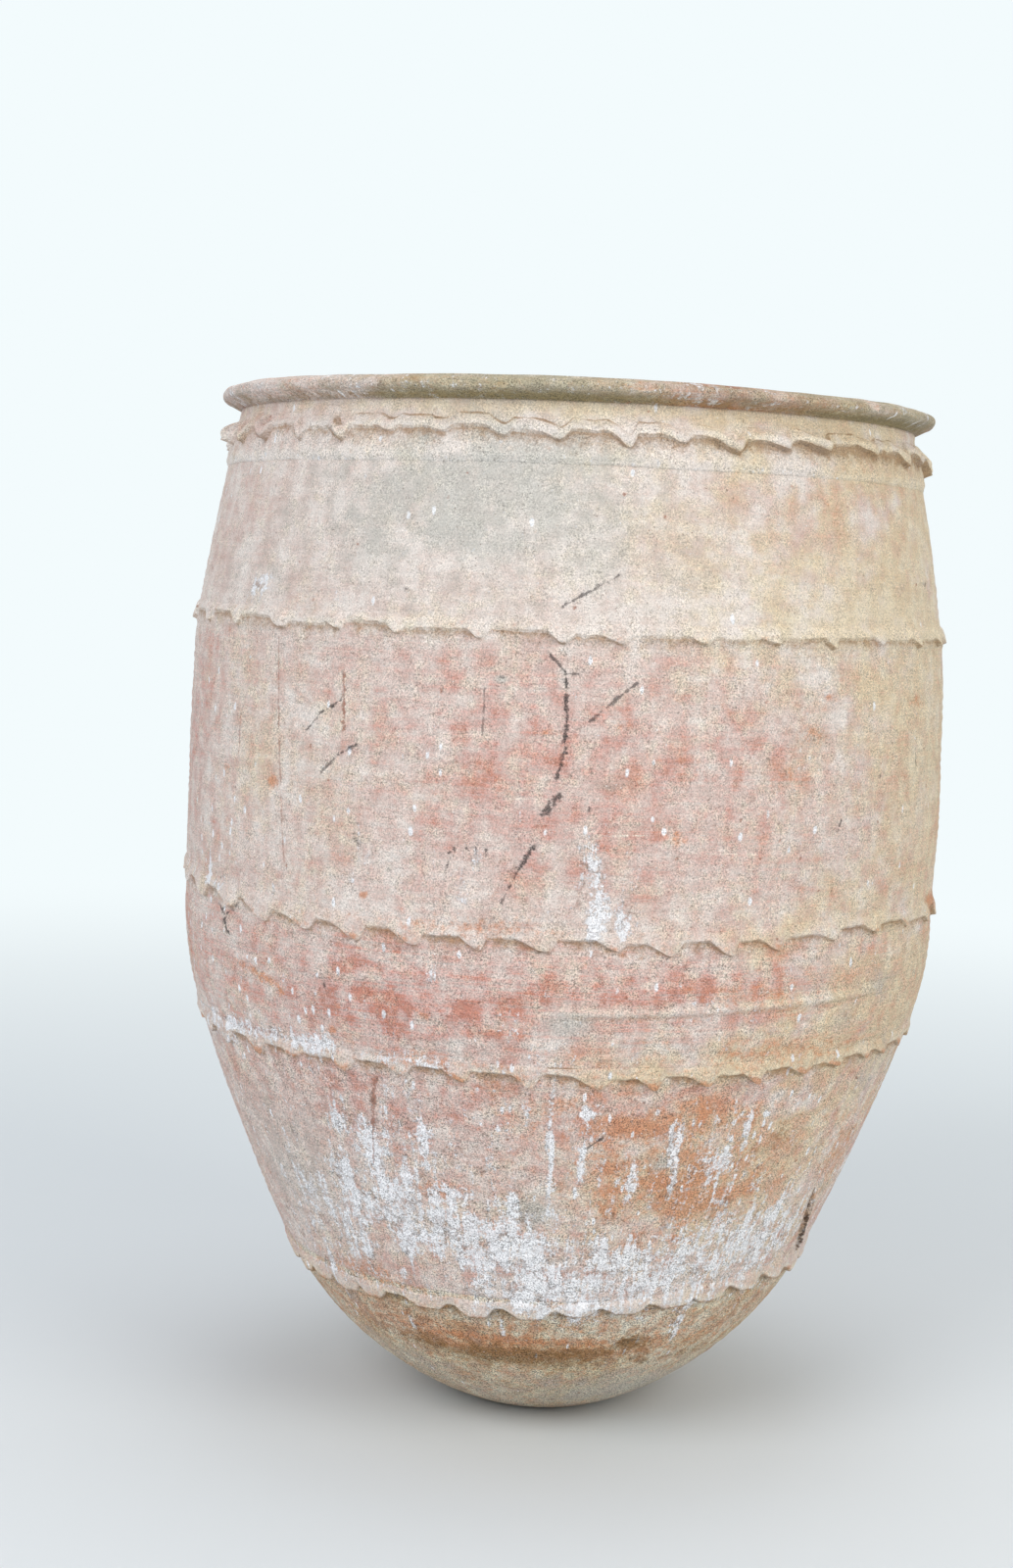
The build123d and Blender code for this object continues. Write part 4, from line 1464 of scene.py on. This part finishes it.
# the wall is rougher and more spotted further down
pieceLooks = {
    "belly_wall": {"sand": 0.95, "mottle": 1.3, "speckle": 0.25, "streak": 1.3},
    "hip_wall": {"sand": 1.15, "mottle": 1.5, "speckle": 0.35, "streak": 1.7},
    "lower_wall": {"sand": 1.5, "mottle": 1.7, "speckle": 0.5},
}
clayMaterials = {}
for subpart in frame["record"]["subparts"]:
    name = subpart["node"]
    slot = subpart["material_slot"]
    strokesByKind = linesOn(name) if slot == "wall_clay" else {}
    key = name if strokesByKind else slot
    if key not in clayMaterials:
        look = {**clayLooks[slot], **pieceLooks.get(name, {})}
        clayMaterials[key] = clayMaterial(key + "_weathered_and_painted_shade", look, strokesByKind)
    pieces[name].data.materials.append(clayMaterials[key])
print("clay materials on", len(pieces), "pieces")


# studio: pale floor, soft lamps, the picture's camera
studio = {
    "backdrop": tint(243, 251, 253),
    "floor": tint(226, 231, 234),
    "floorReach": 40.0,
    "skyLevel": 0.55,
    "sky": (0.93, 0.965, 1.0, 1),
    "lamps": [
        # place, aim, size, watts, colour
        ((-2.2, -3.2, 3.0), (0, 0, 0.5), 2.6, 78, (0.985, 0.99, 1.0)),
        ((2.6, -2.6, 2.4), (0, 0, 0.45), 2.4, 53, (1.0, 0.96, 0.88)),
        ((0.2, 0.6, 4.2), (0, 0, 0.5), 2.6, 35, (0.97, 0.985, 1.0)),
    ],
    "camera": {
        "place": (-0.0472, -1.969, 0.7055), "down": 5.18, "roll": 2.24,
        "pixels": 2341.0, "frame": 1600, "sensor": 36.0,
    },
}


def layFloor():
    bm = bmesh.new()
    bmesh.ops.create_circle(bm, cap_ends=True, radius=studio["floorReach"], segments=96)
    mesh = bpy.data.meshes.new("floor")
    bm.to_mesh(mesh)
    bm.free()
    floor = bpy.data.objects.new("floor", mesh)
    bpy.context.scene.collection.objects.link(floor)
    material = bpy.data.materials.new("pale_floor")
    material.use_nodes = True
    tree = material.node_tree
    shader = tree.nodes["Principled BSDF"]
    shader.inputs["Base Color"].default_value = studio["floor"]
    shader.inputs["Roughness"].default_value = 0.9
    shader.inputs["Specular IOR Level"].default_value = 0.1
    glow = tree.nodes.new("ShaderNodeEmission")
    glow.inputs["Color"].default_value = studio["backdrop"]
    point = tree.nodes.new("ShaderNodeTexCoord").outputs["Object"]
    away = vectorCalc(tree, "LENGTH", point, None, "Value")
    seen = tree.nodes.new("ShaderNodeLightPath")
    far = calc(tree, "MULTIPLY", ramp(tree, away, 0.5, 3.2), seen.outputs["Is Camera Ray"])
    mixShaders(tree, far, shader.outputs[0], glow.outputs[0], "Material Output")
    mesh.materials.append(material)


def hangLamps():
    for index, (place, aim, size, watts, colour) in enumerate(studio["lamps"]):
        lamp = bpy.data.lights.new("softbox" + str(index), "AREA")
        lamp.shape = "DISK"
        lamp.size = size
        lamp.energy = watts
        lamp.color = colour
        holder = bpy.data.objects.new("softbox" + str(index), lamp)
        holder.location = place
        holder.rotation_euler = (Vector(aim) - Vector(place)).to_track_quat("-Z", "Y").to_euler()
        bpy.context.scene.collection.objects.link(holder)


def paintSky():
    world = bpy.data.worlds.new("studio")
    bpy.context.scene.world = world
    world.use_nodes = True
    tree = world.node_tree
    plain = tree.nodes["Background"]
    plain.inputs["Color"].default_value = studio["sky"]
    plain.inputs["Strength"].default_value = studio["skyLevel"]
    seen = tree.nodes.new("ShaderNodeBackground")
    seen.inputs["Color"].default_value = studio["backdrop"]
    seen.inputs["Strength"].default_value = 1.0
    path = tree.nodes.new("ShaderNodeLightPath")
    looking = calc(tree, "MAXIMUM", path.outputs["Is Camera Ray"], path.outputs["Is Glossy Ray"])
    looking = calc(tree, "MAXIMUM", looking, path.outputs["Is Transmission Ray"])
    mixShaders(tree, looking, plain.outputs[0], seen.outputs[0], "World Output")


def placeCamera():
    view = studio["camera"]
    lens = bpy.data.cameras.new("camera")
    lens.sensor_fit = "VERTICAL"
    lens.sensor_height = view["sensor"]
    lens.lens = view["pixels"] / view["frame"] * view["sensor"]
    camera = bpy.data.objects.new("camera", lens)
    camera.location = view["place"]
    pitch = math.radians(90 - view["down"])
    turned = Matrix.Rotation(pitch, 3, "X") @ Matrix.Rotation(math.radians(view["roll"]), 3, "Z")
    camera.rotation_euler = turned.to_euler()
    bpy.context.scene.collection.objects.link(camera)
    bpy.context.scene.camera = camera


layFloor()
hangLamps()
paintSky()
placeCamera()
bpy.context.scene.view_settings.view_transform = "Standard"
print("studio ready")
